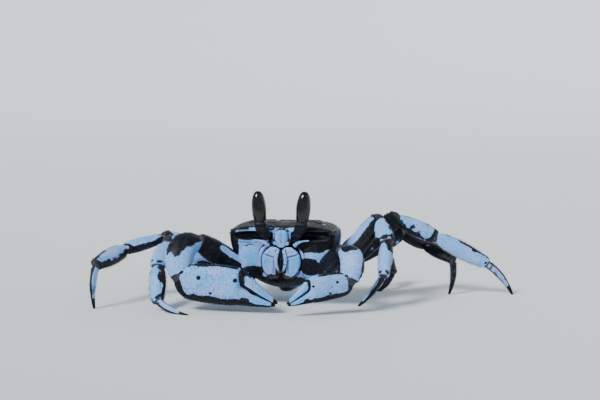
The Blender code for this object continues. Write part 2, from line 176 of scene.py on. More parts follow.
# %% Lamps and sky
LAMPS = {               # azimuth, elevation, width in degrees, strength, colour
    "key": (-40.0, 44.0, 20.0, 3.7, (1.0, 0.99, 0.975)),
    "fill": (62.0, 26.0, 50.0, 0.5, (0.90, 0.95, 1.0)),
    "back": (160.0, 46.0, 34.0, 0.30, (0.94, 0.97, 1.0)),
}
SKY = (0.80, 0.90, 1.0)
SKY_STRENGTH = 0.31


def lamp(name, azimuth, elevation, width, strength, colour):
    """A broad soft lamp so far away that it lights the whole floor evenly."""
    data = bpy.data.lights.new(name, "SUN")
    data.angle = math.radians(width)
    data.energy = strength
    data.color = colour
    made = add_object(name, data)
    made.location = in_frame(polar(azimuth, elevation, 900.0))
    aim_at = in_frame((0, 0, 20)) - made.location
    made.rotation_euler = aim_at.to_track_quat("-Z", "Y").to_euler()


for label, facts in LAMPS.items():
    lamp(label, *facts)
world = bpy.data.worlds.new("studio")
world.use_nodes = True
world.node_tree.nodes["Background"].inputs["Color"].default_value = (*SKY, 1.0)
world.node_tree.nodes["Background"].inputs["Strength"].default_value = SKY_STRENGTH
bpy.context.scene.world = world
print("lamps:", ", ".join(LAMPS))

# %% [markdown]
# ## Random values that look natural
#
# A shell is never even.  Its colour drifts, its grains differ in size and its edges wander.  Blender
# has noise textures for materials, but a mesh needs the same as plain numbers, so that points can be
# pushed in and out.  One helper blends random values on a lattice and gives soft lumps.  The other
# sets a round grain on each of many scattered seeds and keeps the highest, so that no edge shows
# between two grains.  Both draw from one seeded generator, so the crab is the same on each run.

# %% Soft lumps and round grains
from itertools import product

LATTICE = 32
LATTICE_START = 100.0                   # keeps all lattice places above 0
SEED_MARGIN, SEED_SPREAD = 0.15, 0.7    # where in its cube a seed may lie
GRAIN_RADIUS, RADIUS_SPREAD = 0.34, 0.31
random = np.random.default_rng(41)
lump_values = random.random((LATTICE, LATTICE, LATTICE))
seed_places = random.random((LATTICE, LATTICE, LATTICE, 4))


def lumps(points, size):
    """Soft random values from 0 to 1, with lumps about as wide as size."""
    scaled = np.asarray(points) / size + LATTICE_START
    cell = np.floor(scaled).astype(int)
    part = scaled - cell
    part = part * part * (3 - 2 * part)
    total = np.zeros(len(scaled))
    for corner in product((0, 1), repeat=3):
        share = np.where(corner, part, 1 - part).prod(axis=1)
        place = (cell + corner) % LATTICE
        total += share * lump_values[place[:, 0], place[:, 1], place[:, 2]]
    return total


def drift(points, size):
    """Lumps with smaller lumps on them, from 0 to 1."""
    return (lumps(points, size) * 4 + lumps(points, size / 2.1) * 2 + lumps(points, size / 4.3)) / 7


def grains(points, size):
    """Height of round grains, 0 to 1, with about one seed in each cube of the given size."""
    scaled = np.asarray(points) / size + LATTICE_START
    cell = np.floor(scaled - 0.5).astype(int)
    height = np.zeros(len(scaled))
    for corner in product((0, 1), repeat=3):
        place = (cell + corner) % LATTICE
        seed = seed_places[place[:, 0], place[:, 1], place[:, 2]]
        centre = cell + corner + SEED_MARGIN + SEED_SPREAD * seed[:, :3]
        chance = seed[:, 3]
        away = np.linalg.norm(centre - scaled, axis=1) / (GRAIN_RADIUS + RADIUS_SPREAD * chance)
        height = np.maximum(height, np.clip(1 - away ** 2, 0, 1) ** 1.5 * (0.4 + 0.6 * chance))
    return height


def hump(value, centre, width):
    """A soft bell, 1 at the centre."""
    return np.exp(-((value - centre) / width) ** 2)


def rise(value, start, end):
    """0 before start, 1 after end, and a smooth step between."""
    share = np.clip((value - start) / (end - start), 0, 1)
    return share * share * (3 - 2 * share)


def around(turn, degrees, width):
    """A soft bell in an angle, centred on some degrees."""
    apart = (np.degrees(turn) - degrees + 180) % 360 - 180
    return np.exp(-(apart / width) ** 2)


print("lattice points:", lump_values.size)

# %% [markdown]
# ## Curves through stations
#
# The solids are lofts through a few stations, each a place and a size.  A fine skin needs hundreds
# of rings between them.  A straight blend would show a crease at each station, and a plain spline
# swings past them.  A monotone cubic does neither: it is smooth, and it never leaves the range
# between two neighbours.

# %% Smooth rows between stations


def monotone(known, values, wanted):
    """Monotone cubic curve through known values, read at the wanted places."""
    known, values = np.asarray(known, float), np.asarray(values, float)
    step = np.diff(known)
    slope = np.diff(values) / step
    tangent = np.zeros(len(known))
    for index in range(1, len(known) - 1):
        before, after = slope[index - 1], slope[index]
        if before * after > 0:
            weigh = 2 * step[index] + step[index - 1], step[index] + 2 * step[index - 1]
            tangent[index] = sum(weigh) / (weigh[0] / before + weigh[1] / after)
    tangent[0], tangent[-1] = slope[0], slope[-1]
    spot = np.clip(np.searchsorted(known, wanted, side="right") - 1, 0, len(step) - 1)
    share = (wanted - known[spot]) / step[spot]
    return ((1 + 2 * share) * (1 - share) ** 2 * values[spot]
            + share * (1 - share) ** 2 * step[spot] * tangent[spot]
            + share ** 2 * (3 - 2 * share) * values[spot + 1]
            + share ** 2 * (share - 1) * step[spot] * tangent[spot + 1])


def through(stations, wanted):
    """Every column of the stations after the first, read at the wanted values of the first."""
    table = np.asarray(stations, float)
    return [monotone(table[:, 0], table[:, column], wanted) for column in range(1, table.shape[1])]


def unit(vectors):
    """Vectors made one long."""
    vectors = np.asarray(vectors, float)
    return vectors / np.maximum(np.linalg.norm(vectors, axis=-1, keepdims=True), 1e-9)


def signed_power(value, power):
    """Power of numbers that keep their sign."""
    return np.sign(value) * np.abs(value) ** power


print("check:", monotone([0, 1, 2], [0, 1, 1], np.array([0.5, 1.5])))

# %% [markdown]
# ## Tubes as grids
#
# Legs, stalks and fingers are all tubes: rings round a path.  A tube made as a grid of rows and
# columns knows for each of its points how far along and how far round it is.  That makes it easy to
# add a crest, a groove or a mark in the right place, which a sculpted mesh would not allow.

# %% A tube that knows its rows and turns
from types import SimpleNamespace

SECTION_POWER = 2.3                     # cross sections are slightly squarish ovals
DETAIL = 0.34                           # distance between neighbouring points of a skin


def tube_grid(path, heights, widths, outer_side, columns, power=SECTION_POWER):
    """Rings of points round a path.  The height lies in the plane of path and outer side."""
    path = np.asarray(path, float)
    along = unit(np.gradient(path, axis=0))
    across = unit(np.cross(np.broadcast_to(outer_side, along.shape), along))
    upward = np.cross(along, across)
    turn = 2 * np.pi * (np.arange(columns) + 0.5) / columns
    sideways = signed_power(np.cos(turn), 2 / power)
    upwards = signed_power(np.sin(turn), 2 / power)
    points = (path[:, None, :]
              + across[:, None, :] * (np.asarray(widths)[:, None] * sideways)[..., None]
              + upward[:, None, :] * (np.asarray(heights)[:, None] * upwards)[..., None])
    return SimpleNamespace(points=points, along=along, turn=np.broadcast_to(turn, points.shape[:2]))


def grid_normals(points):
    """Outward directions of a grid that closes on itself along its columns."""
    around_it = np.roll(points, -1, axis=1) - np.roll(points, 1, axis=1)
    along_it = np.gradient(points, axis=0)
    return unit(np.cross(around_it, along_it))


def grid_faces(rows, columns):
    """Quads between the rows and a fan of triangles at each end, for a closed tube."""
    faces = []
    for row in range(rows - 1):
        for column in range(columns):
            after = (column + 1) % columns
            here, there = row * columns, (row + 1) * columns
            faces.append((here + column, here + after, there + after, there + column))
    first_pole, last_pole = rows * columns, rows * columns + 1
    last = (rows - 1) * columns
    for column in range(columns):
        after = (column + 1) % columns
        faces.append((first_pole, after, column))
        faces.append((last_pole, last + column, last + after))
    return faces


def with_poles(values):
    """Grid values as one flat list, with the mean of the first and of the last row added."""
    values = np.asarray(values, float)
    flat = values.reshape(-1, *values.shape[2:])
    ends = np.stack([values[0].mean(axis=0), values[-1].mean(axis=0)])
    return np.concatenate([flat, ends])


sample = tube_grid([(0, 0, z) for z in range(4)], [1] * 4, [1] * 4, (0, 1, 0), 12)
faces_out = grid_normals(sample.points)[1, 0] @ sample.points[1, 0] > 0
print("a small tube:", sample.points.shape, "and it faces out:", faces_out)

# %% [markdown]
# ## The shell's finish
#
# This crab's shell drifts from a pale sky blue to a pale lavender.  Its back, brow, joints and margins
# are almost black, with ragged edges and small dots strewn around them.  A painted texture could hold
# that, but it would need an unwrap and would blur up close.  Here the mesh tells the material where the
# dark is strong, as one number a point called mark, and the material adds the ragged edge and the dots.
# Two more numbers come from the mesh.  Dent is positive in a hollow, which gets painted shade, and
# negative on a ridge, which gets wear and a painted highlight.  Horn is 1 at the tips.  Between the
# fine grains the pale shell gets painted shade as well, so each grain has a lighter top.
#
# The colours are stronger than those one sees, because the film look of the render softens them.
#
# The grain of the surface is real relief down to about a third of a millimetre.  What is finer than
# that is bump: pores and a grain that breaks up the highlights.

# %% Node helpers


class Finish:
    """A new material with short ways to add and join its nodes."""

    def __init__(self, name):
        self.material = bpy.data.materials.new(name)
        self.material.use_nodes = True
        self.tree = self.material.node_tree
        self.shader = self.tree.nodes["Principled BSDF"]
        place = self.add("ShaderNodeTexCoord").outputs["Object"]
        scale = self.add("ShaderNodeVectorMath", operation="SCALE")
        self.tree.links.new(place, scale.inputs[0])
        scale.inputs["Scale"].default_value = 1 / MM
        self.place = scale.outputs[0]

    def add(self, kind, **settings):
        """A node with some of its settings."""
        node = self.tree.nodes.new(kind)
        for key, value in settings.items():
            setattr(node, key, value)
        return node

    def put(self, socket, value):
        """Give a socket a link or a value."""
        if isinstance(value, bpy.types.NodeSocket):
            self.tree.links.new(value, socket)
        elif isinstance(value, tuple) and len(value) == 3 and socket.type == "RGBA":
            socket.default_value = (*value, 1.0)
        else:
            socket.default_value = value

    def shade(self, name, value):
        """Give a socket of the shader a link or a value."""
        self.put(self.shader.inputs[name], value)

    def number(self, name):
        """A number that the mesh holds at each point."""
        return self.add("ShaderNodeAttribute", attribute_name=name).outputs["Fac"]

    def math(self, operation, first, second=0.0, clamp=False):
        """One sum."""
        node = self.add("ShaderNodeMath", operation=operation, use_clamp=clamp)
        self.put(node.inputs[0], first)
        self.put(node.inputs[1], second)
        return node.outputs[0]

    def span(self, value, start, end, low=0.0, high=1.0):
        """A smooth step from low to high between two values."""
        node = self.add("ShaderNodeMapRange", interpolation_type="SMOOTHSTEP")
        for index, given in enumerate((value, start, end, low, high)):
            self.put(node.inputs[index], given)
        return node.outputs[0]

    def noise(self, lump, detail=3.0, roughness=0.55):
        """Soft noise whose lumps are about as wide as lump, in millimetres."""
        node = self.add("ShaderNodeTexNoise")
        self.put(node.inputs["Vector"], self.place)
        self.put(node.inputs["Scale"], 1 / lump)
        self.put(node.inputs["Detail"], detail)
        self.put(node.inputs["Roughness"], roughness)
        return node.outputs["Fac"]

    def cells(self, size, feature="F1"):
        """Distance to the nearest of many seeds about size apart."""
        node = self.add("ShaderNodeTexVoronoi", feature=feature)
        self.put(node.inputs["Vector"], self.place)
        self.put(node.inputs["Scale"], 1 / size)
        return node.outputs["Distance"]

    def specks(self, apart, radius, uneven):
        """1 inside small spots, whose uneven edge comes from a second number."""
        return self.math("LESS_THAN", self.cells(apart), self.math("MULTIPLY", radius, uneven))

    def blend(self, share, first, second):
        """A colour between two colours."""
        node = self.add("ShaderNodeMix", data_type="RGBA")
        self.put(node.inputs[0], share)
        self.put(node.inputs[6], first)
        self.put(node.inputs[7], second)
        return node.outputs[2]

    def bump(self, height, depth, below=None):
        """Fine relief, depth in millimetres, over the relief below it."""
        node = self.add("ShaderNodeBump")
        self.put(node.inputs["Distance"], depth * MM)
        self.put(node.inputs["Height"], height)
        if below is not None:
            self.put(node.inputs["Normal"], below)
        return node.outputs[0]


print("node helpers ready")

# %% Shell
PALE_BLUE = (0.15, 0.51, 1.0)
LAVENDER = (0.40, 0.54, 1.0)
BLUE_SHADE = (0.08, 0.26, 0.62)
FRECKLE = (0.06, 0.10, 0.22)
INK = (0.0030, 0.0032, 0.0060)
INK_EDGE = (0.0120, 0.0125, 0.0200)
INK_WORN_AND_LIT = (0.034, 0.038, 0.056)
HORN = (0.005, 0.005, 0.007)
# Painted shade for the hollows: slate on pale shell, near black on dark shell.
PALE_HOLLOW_SHADE = (0.07, 0.10, 0.17)
DARK_HOLLOW_SHADE = (0.003, 0.003, 0.004)
SHADED_DENTS = (0.02, 0.26)                   # dents where painted shade starts and where it is full
WORN_LIT_DENTS = (-0.06, -0.40)                  # dents where wear and a painted highlight start and where they are full
SHINE = 0.15                            # how much light shell and cornea throw straight back


def shell_finish(name, pore, grain, grain_depth, wander=0.44):
    """Hard shell with dark blotches where mark is above 0.  Wander is how ragged they are."""
    make = Finish(name)
    mark = make.number("mark")
    dent = make.number("dent")
    horn = make.number("horn")

    # Where the dark lies: a ragged edge, with dots outside it and pale spots inside.
    ragged = make.math("SUBTRACT", make.noise(3.4, 2.4, 0.5), 0.5)
    ragged = make.math("ADD", mark, make.math("MULTIPLY", ragged, wander * 4))
    dark = make.span(ragged, -0.10, 0.08)
    uneven = make.span(make.noise(0.45, 3.0), 0.3, 0.7, 0.2, 1.9)
    dots = make.specks(1.0, make.span(ragged, -1.0, 0.0, 0.0, 0.24), uneven)
    spots = make.specks(1.35, make.span(ragged, 0.9, 0.1, 0.0, 0.18), uneven)
    dark = make.math("MAXIMUM", dark, make.math("MULTIPLY", dots, 0.85))
    dark = make.math("SUBTRACT", dark, make.math("MULTIPLY", spots, 0.5), clamp=True)
    raised = make.math("SUBTRACT", 1.0, make.cells(grain, "SMOOTH_F1"))

    # The colours: pale, black, then painted shade in the hollows, wear and a painted highlight on the
    # ridges, and horn.
    pale = make.blend(make.span(make.noise(7.0), 0.35, 0.65), PALE_BLUE, LAVENDER)
    pale = make.blend(make.span(make.noise(3.2, 5.0, 0.7), 0.52, 0.8, 0.0, 0.75), pale, BLUE_SHADE)
    # Painted shade between the grains, which gives each grain a lighter top.
    pale = make.blend(make.span(raised, 0.72, 0.42, 0.0, 0.5), pale, BLUE_SHADE)
    freckles = make.specks(0.62, make.span(make.noise(5.0), 0.40, 0.75, 0.0, 0.20), uneven)
    pale = make.blend(make.math("MULTIPLY", freckles, 0.8), pale, FRECKLE)
    black = make.blend(make.span(ragged, 0.1, 1.2), INK_EDGE, INK)
    black = make.blend(make.span(make.noise(1.8), 0.45, 0.70, 0.0, 0.8), black, INK_EDGE)
    # Painted shade in the hollows.
    hollow_shade = make.blend(dark, PALE_HOLLOW_SHADE, DARK_HOLLOW_SHADE)
    # Wear and a painted highlight on the ridges.
    wear_and_highlight = make.blend(dark, LAVENDER, INK_WORN_AND_LIT)
    colour = make.blend(dark, pale, black)
    colour = make.blend(make.span(dent, *SHADED_DENTS, 0.0, 0.85), colour, hollow_shade)
    colour = make.blend(make.span(dent, *WORN_LIT_DENTS, 0.0, 0.5), colour, wear_and_highlight)
    colour = make.blend(make.span(horn, 0.3, 0.6), colour, HORN)
    make.shade("Base Color", colour)

    # The gloss, which the black parts have more of, and the fine relief.
    fine = make.noise(0.5, 4.0, 0.7)
    rough = make.span(fine, 0.3, 0.7, 0.34, 0.58)
    rough = make.math("SUBTRACT", rough, make.math("MULTIPLY", dark, 0.07))
    make.shade("Roughness", rough)
    pores = make.bump(make.noise(pore, 3.0, 0.7), 0.045)
    make.shade("Normal", make.bump(raised, grain_depth, pores))
    make.shade("Specular IOR Level", SHINE)
    return make.material


BACK_SHELL = shell_finish("back shell", 0.16, 0.42, 0.10)
LIMB_SHELL = shell_finish("limb shell", 0.14, 0.36, 0.07)
CLAW_SHELL = shell_finish("claw shell", 0.16, 0.50, 0.10, 0.38)
BELLY_SHELL = shell_finish("belly shell", 0.14, 0.34, 0.05)
print("shells:", [item.name for item in (BACK_SHELL, LIMB_SHELL, CLAW_SHELL, BELLY_SHELL)])

# %% [markdown]
# ## Joint skin, eyes and bristles
#
# The skin in the joints is leathery and nearly black, with painted shade in its folds.  The cornea is a
# hard cap under a clear glossy coat.  A bristle is horn, dark at its root and brown to the tip, and the
# mesh tells the material how near the tip is.

# %% Joint skin, cornea and bristle
SKIN_TONES = (0.010, 0.010, 0.014), (0.034, 0.033, 0.045)
SKIN_FOLD_SHADE = (0.005, 0.005, 0.006)
CORNEA_TONES = (0.002, 0.002, 0.003), (0.008, 0.006, 0.008)
BRISTLE_TONES = (0.05, 0.035, 0.03), (0.34, 0.27, 0.22)     # at the root and at the tip
BRISTLE_PATCH = (0.10, 0.07, 0.06)


def skin_finish():
    """The tough wrinkled skin that closes each joint."""
    make = Finish("joint skin")
    tone = make.blend(make.span(make.noise(1.4, 4.0), 0.3, 0.7), *SKIN_TONES)
    # Painted shade in the folds.
    tone = make.blend(make.span(make.number("dent"), 0.0, 0.3, 0.0, 0.8), tone, SKIN_FOLD_SHADE)
    make.shade("Base Color", tone)
    make.shade("Roughness", make.span(make.noise(0.6), 0.3, 0.7, 0.42, 0.62))
    make.shade("Normal", make.bump(make.noise(0.35, 4.0, 0.7), 0.08))
    return make.material


def cornea_finish():
    """Glossy black, with thousands of facets too fine to be more than a bump."""
    make = Finish("cornea")
    tone = make.blend(make.span(make.noise(3.0), 0.3, 0.7), *CORNEA_TONES)
    make.shade("Base Color", tone)
    make.shade("Roughness", make.span(make.noise(1.0), 0.3, 0.7, 0.10, 0.18))
    make.shade("Normal", make.bump(make.cells(0.16), 0.006))
    make.shade("Specular IOR Level", SHINE)
    make.shade("Coat Weight", 0.7)
    make.shade("Coat Roughness", 0.04)
    return make.material


def bristle_finish():
    """Stiff horny hairs, dark at the root and paler to the tip."""
    make = Finish("bristle")
    tone = make.blend(make.number("tip"), *BRISTLE_TONES)
    tone = make.blend(make.span(make.noise(1.5), 0.4, 0.7, 0.0, 0.6), tone, BRISTLE_PATCH)
    make.shade("Base Color", tone)
    make.shade("Roughness", make.span(make.noise(0.8), 0.3, 0.7, 0.4, 0.6))
    make.shade("Normal", make.bump(make.noise(0.1), 0.01))
    return make.material


JOINT_SKIN = skin_finish()
CORNEA = cornea_finish()
BRISTLE = bristle_finish()
print("finishes:", [item.name for item in (JOINT_SKIN, CORNEA, BRISTLE)])

# %% [markdown]
# ## From numbers to pieces
#
# The dents are measured on the mesh: where the neighbours of a point stand further out than the
# point, it lies in a hollow.

# %% Make a piece
DENT_GAIN = 6                           # scales them for the finishes
DENT_PASSES = 3                         # rounds of softening


def neighbour_mean(mesh, values, passes=1):
    """Each point's values averaged with those of the points it shares an edge with."""
    ends = np.empty(len(mesh.edges) * 2, np.int32)
    mesh.edges.foreach_get("vertices", ends)
    first, second = ends[0::2], ends[1::2]
    count = np.bincount(ends, minlength=len(mesh.vertices)).astype(float)
    values = np.asarray(values, float)
    for _ in range(passes):
        columns = []
        for column in values.reshape(len(count), -1).T:
            total = np.bincount(first, column[second], len(count))
            total += np.bincount(second, column[first], len(count))
            columns.append(total / np.maximum(count, 1))
        values = np.stack(columns, axis=1).reshape(values.shape)
    return values


def new_mesh(name, points, faces):
    """A mesh from points and faces."""
    mesh = bpy.data.meshes.new(name)
    mesh.from_pydata(np.asarray(points).tolist(), [], faces)
    return mesh


def read_points(mesh):
    """Places and outward directions of a mesh's points."""
    places = np.empty(len(mesh.vertices) * 3)
    mesh.vertices.foreach_get("co", places)
    outward = np.empty(len(mesh.vertices) * 3)
    mesh.vertex_normals.foreach_get("vector", outward)
    return places.reshape(-1, 3), outward.reshape(-1, 3)


def store(mesh, name, values):
    """Keep one number for each point on the mesh."""
    kept = mesh.attributes.new(name, "FLOAT", "POINT")
    kept.data.foreach_set("value", np.asarray(values, np.float32))


def measure_dents(mesh):
    """How far each point lies below its neighbours, softened a little."""
    places, outward = read_points(mesh)
    hollow = ((neighbour_mean(mesh, places) - places) * outward).sum(axis=1)
    return neighbour_mean(mesh, hollow / DETAIL * DENT_GAIN, DENT_PASSES)


def place_piece(mesh, name, nodes):
    mesh.transform(Matrix.Translation(Vector(ORIGIN)) @ Matrix.Scale(MM, 4))
    mesh.shade_smooth()
    piece = add_object(name, mesh)
    if nodes:
        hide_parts(*nodes)
    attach(piece, "root")


def cut_flat(work, place, normal, **cleared):
    """Cut a form along a plane, drop one side and close the cut with a face."""
    cut = bmesh.ops.bisect_plane(work, geom=work.verts[:] + work.edges[:] + work.faces[:],
                                 plane_co=place, plane_no=normal, **cleared)
    rim = [item for item in cut["geom_cut"] if isinstance(item, bmesh.types.BMEdge)]
    bmesh.ops.contextual_create(work, geom=rim)


def dress(mesh, name, nodes, finish, mark, horn=None, is_skin=None):
    """Give a mesh its facts and finish and make it a piece.  Some faces may be joint skin."""
    store(mesh, "mark", mark)
    store(mesh, "horn", np.zeros(len(mesh.vertices)) if horn is None else horn)
    store(mesh, "dent", measure_dents(mesh))
    mesh.materials.append(finish)
    if is_skin is not None:
        mesh.materials.append(JOINT_SKIN)
        mesh.polygons.foreach_set("material_index", is_skin.astype(np.int32))
    place_piece(mesh, name, nodes)


print("piece helpers ready")

# %% [markdown]
# ## Legs
#
# A walking leg has five pieces that show: a short base, the long merus, the carpus or wrist, the
# propodus and the pointed dactyl.  Each is a hard tube that ends in a blunt rim.  A dome of joint
# skin fills the rim, and the narrow neck of the next piece comes out of it, held by two dark pegs
# on its flanks, which are the hinge.  The solids have the same pieces in the same pose, so the cell
# repeats their sizes: lengths as shares of the carapace's width, and half height and half width.

# %% Sizes and pose of the legs
CARAPACE_WIDTH = 50.0
LEG_HIPS = {
    1: (24.0, -9.0, 15.0),
    2: (26.0, 0.0, 16.0),
    3: (25.0, 9.0, 16.5),
    4: (22.0, 16.0, 17.0),
}
COXA_INSET = 10.0
COXA_DROP = 2.5
LEG_PARTS = ("base", "merus", "carpus", "propodus", "dactyl")
LEG_LENGTHS = {
    1: (0.68, 0.32, 0.42, 0.40),
    2: (0.74, 0.42, 0.56, 0.41),
    3: (0.68, 0.32, 0.38, 0.34),
    4: (0.52, 0.26, 0.30, 0.30),
}
LEG_SECTIONS = {
    1: ((3.7, 3.1), (5.3, 3.3), (4.3, 3.1), (3.7, 2.9), (1.7, 1.5)),
    2: ((3.8, 3.1), (5.1, 3.2), (4.1, 2.8), (3.9, 2.6), (1.9, 1.5)),
    3: ((3.5, 2.9), (4.6, 3.0), (3.6, 2.6), (3.4, 2.4), (1.7, 1.4)),
    4: ((2.9, 2.5), (4.3, 2.8), (3.8, 2.6), (3.7, 2.4), (1.8, 1.4)),
}
# Heading and pitch of merus, carpus and propodus, then the dactyl's heading.  0 points straight
# out from the body and 90 points forward.
LEG_POSE = {
    ("left", 1): ((-46, 42), (65, -32), (90, -41), -163),
    ("left", 2): ((-40, 35), (-12, -25), (-5, -27), -13),
    ("left", 3): ((-35, 21), (-42, -22), (36, -18), 127),
    ("left", 4): ((-62, 22), (-50, -30), (50, -52), 120),
    ("right", 1): ((4, 22), (80, -36), (103, -41), 147),
    ("right", 2): ((-9, 19), (34, -13), (75, -8), 96),
    ("right", 3): ((-44, 10), (-50, -12), (-58, -24), -62),
    ("right", 4): ((-76, 22), (-70, -25), (-62, -46), -52),
}
# Shapes along a piece: share of its length, share of its full section.
LEG_SHAPES = {
    "base": ((0.0, 1.0), (0.5, 1.04), (1.0, 0.84)),
    "merus": ((0.0, 0.42), (0.14, 0.74), (0.4, 1.0), (0.75, 0.98), (1.0, 0.78)),
    "carpus": ((0.0, 0.48), (0.3, 0.86), (0.7, 1.0), (1.0, 0.84)),
    "propodus": ((0.0, 0.52), (0.2, 0.88), (0.5, 1.0), (1.0, 0.72)),
    "dactyl": ((0.0, 0.6), (0.14, 0.95), (0.4, 0.9), (0.72, 0.62), (0.93, 0.4), (1.0, 0.3)),
}
SIDES = {"left": 1, "right": -1}


def on_side(side, places):
    """Places given for the left side, mirrored where side is -1."""
    return np.array(places) * (side, 1, 1)


def aim(side, heading, pitch):
    """Unit vector from a heading and a pitch on one side of the body."""
    heading, pitch = math.radians(heading), math.radians(pitch)
    return np.array([side * math.cos(heading) * math.cos(pitch),
                     -math.sin(heading) * math.cos(pitch),
                     math.sin(pitch)])


def leg_line(label, number):
    """The joints of a leg from coxa to tip, and the outer side of each of its pieces."""
    side = SIDES[label]
    hip = on_side(side, LEG_HIPS[number])
    lengths = np.array(LEG_LENGTHS[number]) * CARAPACE_WIDTH
    *turns, dactyl_heading = LEG_POSE[(label, number)]
    joints = [hip - (side * COXA_INSET, 0, COXA_DROP), hip]
    aims = []
    for turn, length in zip(turns, lengths):
        aims.append(aim(side, *turn))
        joints.append(joints[-1] + aims[-1] * length)
    drop = math.degrees(math.asin(joints[-1][2] / lengths[3]))
    aims.append(aim(side, dactyl_heading, -drop))
    joints.append(joints[-1] + aims[-1] * lengths[3])
    up = np.array([0, 0, 1.0])
    outer = (up, -aims[1], aims[0] - aims[2], aims[1] - aims[3], aims[1] + aims[2])
    return joints, outer


tips = [leg_line(label, number)[0][-1] for label, number in LEG_POSE]
print("toes stand at heights", np.round([tip[2] for tip in tips], 3))

# %% [markdown]
# ## A piece of limb
#
# One helper makes the plain form of any limb piece as a grid, with the round dome at its far end.
# A second adds what all pieces share: a slightly thickened rim, the step down to the joint skin, the
# wrinkles on it, and the two pegs.  What differs from piece to piece, such as the crest of the
# merus, comes in as a function of how far along and how far round each point is.

# %% Plain form, rim and pegs
PEG_ANGLES = (0.0, 180.0)
RIM_SLANT = 0.32                        # the rim reaches further on the outer side of the bend
DOME_END = 87                           # degrees; a fan of triangles closes the rest


def measure_along(skin, share, length):
    """Keep how far along the piece each point lies, and which way is out."""
    skin.length = length
    skin.share = np.broadcast_to(share[:, None], skin.turn.shape)
    skin.distance = skin.share * length
    skin.outward = grid_normals(skin.points)


def limb_grid(start, end, shape, section, outer_side, bow=(0, 0, 0)):
    """The plain form of a limb piece with its dome."""
    start, end = np.asarray(start, float), np.asarray(end, float)
    length = np.linalg.norm(end - start)
    shares = np.linspace(0, 1, int(length / DETAIL) + 2)
    last_swell = shape[-1][1]
    reach = last_swell * sum(section) / 2
    turns = np.radians(np.linspace(0, DOME_END, max(int(1.5 * reach / DETAIL), 6)))[1:]
    distance = np.concatenate([shares * length, length + reach * np.sin(turns)])
    swell = np.concatenate([monotone(*np.transpose(shape), shares), last_swell * np.cos(turns)])
    share = distance / length
    path = start + np.outer(share, end - start)
    path += np.outer(4 * share * (1 - np.minimum(share, 1)), bow)
    columns = 4 * int(2 * np.pi * np.mean(section) / DETAIL / 4 + 1)
    skin = tube_grid(path, section[0] * swell, section[1] * swell, outer_side, columns)
    measure_along(skin, share, length)
    arc = np.concatenate([distance[:len(shares)], length + reach * turns])[:, None] - length
    skin.arc = arc - reach * RIM_SLANT * (0.25 + np.sin(skin.turn))
    return skin


def on_grid(skin, function, *facts):
    """A noise helper's values in the shape of the grid."""
    return function(skin.points.reshape(-1, 3), *facts).reshape(skin.turn.shape)


def pegs(skin):
    """1 on the two hinge pegs of a piece."""
    both = sum(around(skin.turn, angle, 15) for angle in PEG_ANGLES)
    return both * hump(skin.arc, -0.35, 0.75)


def joint_relief(skin):
    """Rim, step, wrinkled dome and pegs."""
    rim = 0.13 * hump(skin.arc, -0.45, 0.40)
    step = -0.34 * rise(skin.arc, 0.02, 0.42)
    wrinkle = 0.08 * np.sin(2 * np.pi * skin.arc / 0.8) * rise(skin.arc, 0.4, 0.9)
    return rim + step + wrinkle + 0.42 * pegs(skin)


def push(skin, height):
    """Move a grid's points out."""
    skin.points = skin.points + skin.outward * np.asarray(height)[..., None]


def shape_limb(skin, relief):
    """Push the grid's points out by the joint's relief and the piece's own."""
    push(skin, relief + joint_relief(skin))
    skin.skin_share = rise(skin.arc, 0.25, 0.5) * np.ones_like(skin.turn) * (pegs(skin) < 0.35)


def finish_limb(name, nodes, skin, finish, mark):
    """Close the grid and make it a piece."""
    faces = grid_faces(*skin.turn.shape)
    is_skin = with_poles(skin.skin_share)[[face[0] for face in faces]] > 0.5
    dress(new_mesh(name, with_poles(skin.points), faces), name, nodes, finish,
          with_poles(mark), is_skin=is_skin)


print("pegs at", PEG_ANGLES, "degrees round each piece")

# %% [markdown]
# ## Relief of the leg pieces
#
# The merus is flattened like a blade.  It has a saw-edged crest along its upper margin, two finer
# ones below, and broken wrinkles across its faces.  The carpus and the propodus carry rows of grains
# on low ridges, and the dactyl is fluted all round, which keeps a thin spike stiff.

# %% Relief by piece
CREST = 90.0                            # the outer side of the bend is a quarter turn round


def teeth(skin, pitch):
    """A row of little saw teeth along a piece, 0 to 1."""
    wave = skin.distance / pitch + 0.6 * on_grid(skin, lumps, 3.0)
    return np.clip(np.sin(2 * np.pi * wave), 0, 1) ** 0.7


def away_from_ends(skin):
    """1 along a piece and 0 at its neck and rim."""
    return rise(skin.share, 0.05, 0.18) * (1 - rise(skin.arc, -1.8, -0.7))


def merus_relief(skin):
    """Saw crest, two lower edges, wrinkles and grains."""
    crest = around(skin.turn, CREST, 15) * (0.22 + 0.42 * teeth(skin, 1.5))
    lower = (around(skin.turn, 238, 12) + around(skin.turn, 302, 12)) * (0.14 + 0.22 * teeth(skin, 1.1))
    wave = skin.distance + 2.2 * on_grid(skin, drift, 5.0) + 0.5 * np.sin(2 * skin.turn)
    wrinkle = np.clip(np.sin(2 * np.pi * wave / 1.25), 0, 1) ** 2 * np.abs(np.cos(skin.turn))
    wrinkle *= 0.10 * rise(on_grid(skin, lumps, 2.4), 0.42, 0.62)
    grain = 0.15 * on_grid(skin, grains, 0.85) * around(skin.turn, CREST, 55)
    notch = -0.35 * hump(skin.arc, -1.9, 0.5) * around(skin.turn, CREST, 60)
    return (crest + lower + wrinkle + grain) * away_from_ends(skin) + notch


def carpus_relief(skin):
    """Two low ridges with a furrow between them, and grains."""
    ridges = around(skin.turn, 62, 10) + around(skin.turn, 118, 10)
    ridges = ridges * (0.18 + 0.2 * teeth(skin, 1.2))
    furrow = -0.22 * around(skin.turn, CREST, 12)
    lower = 0.15 * around(skin.turn, 270, 14)
    grain = 0.16 * on_grid(skin, grains, 0.8) * (0.3 + 0.7 * around(skin.turn, CREST, 70))
    return (ridges + furrow + lower + grain) * away_from_ends(skin)


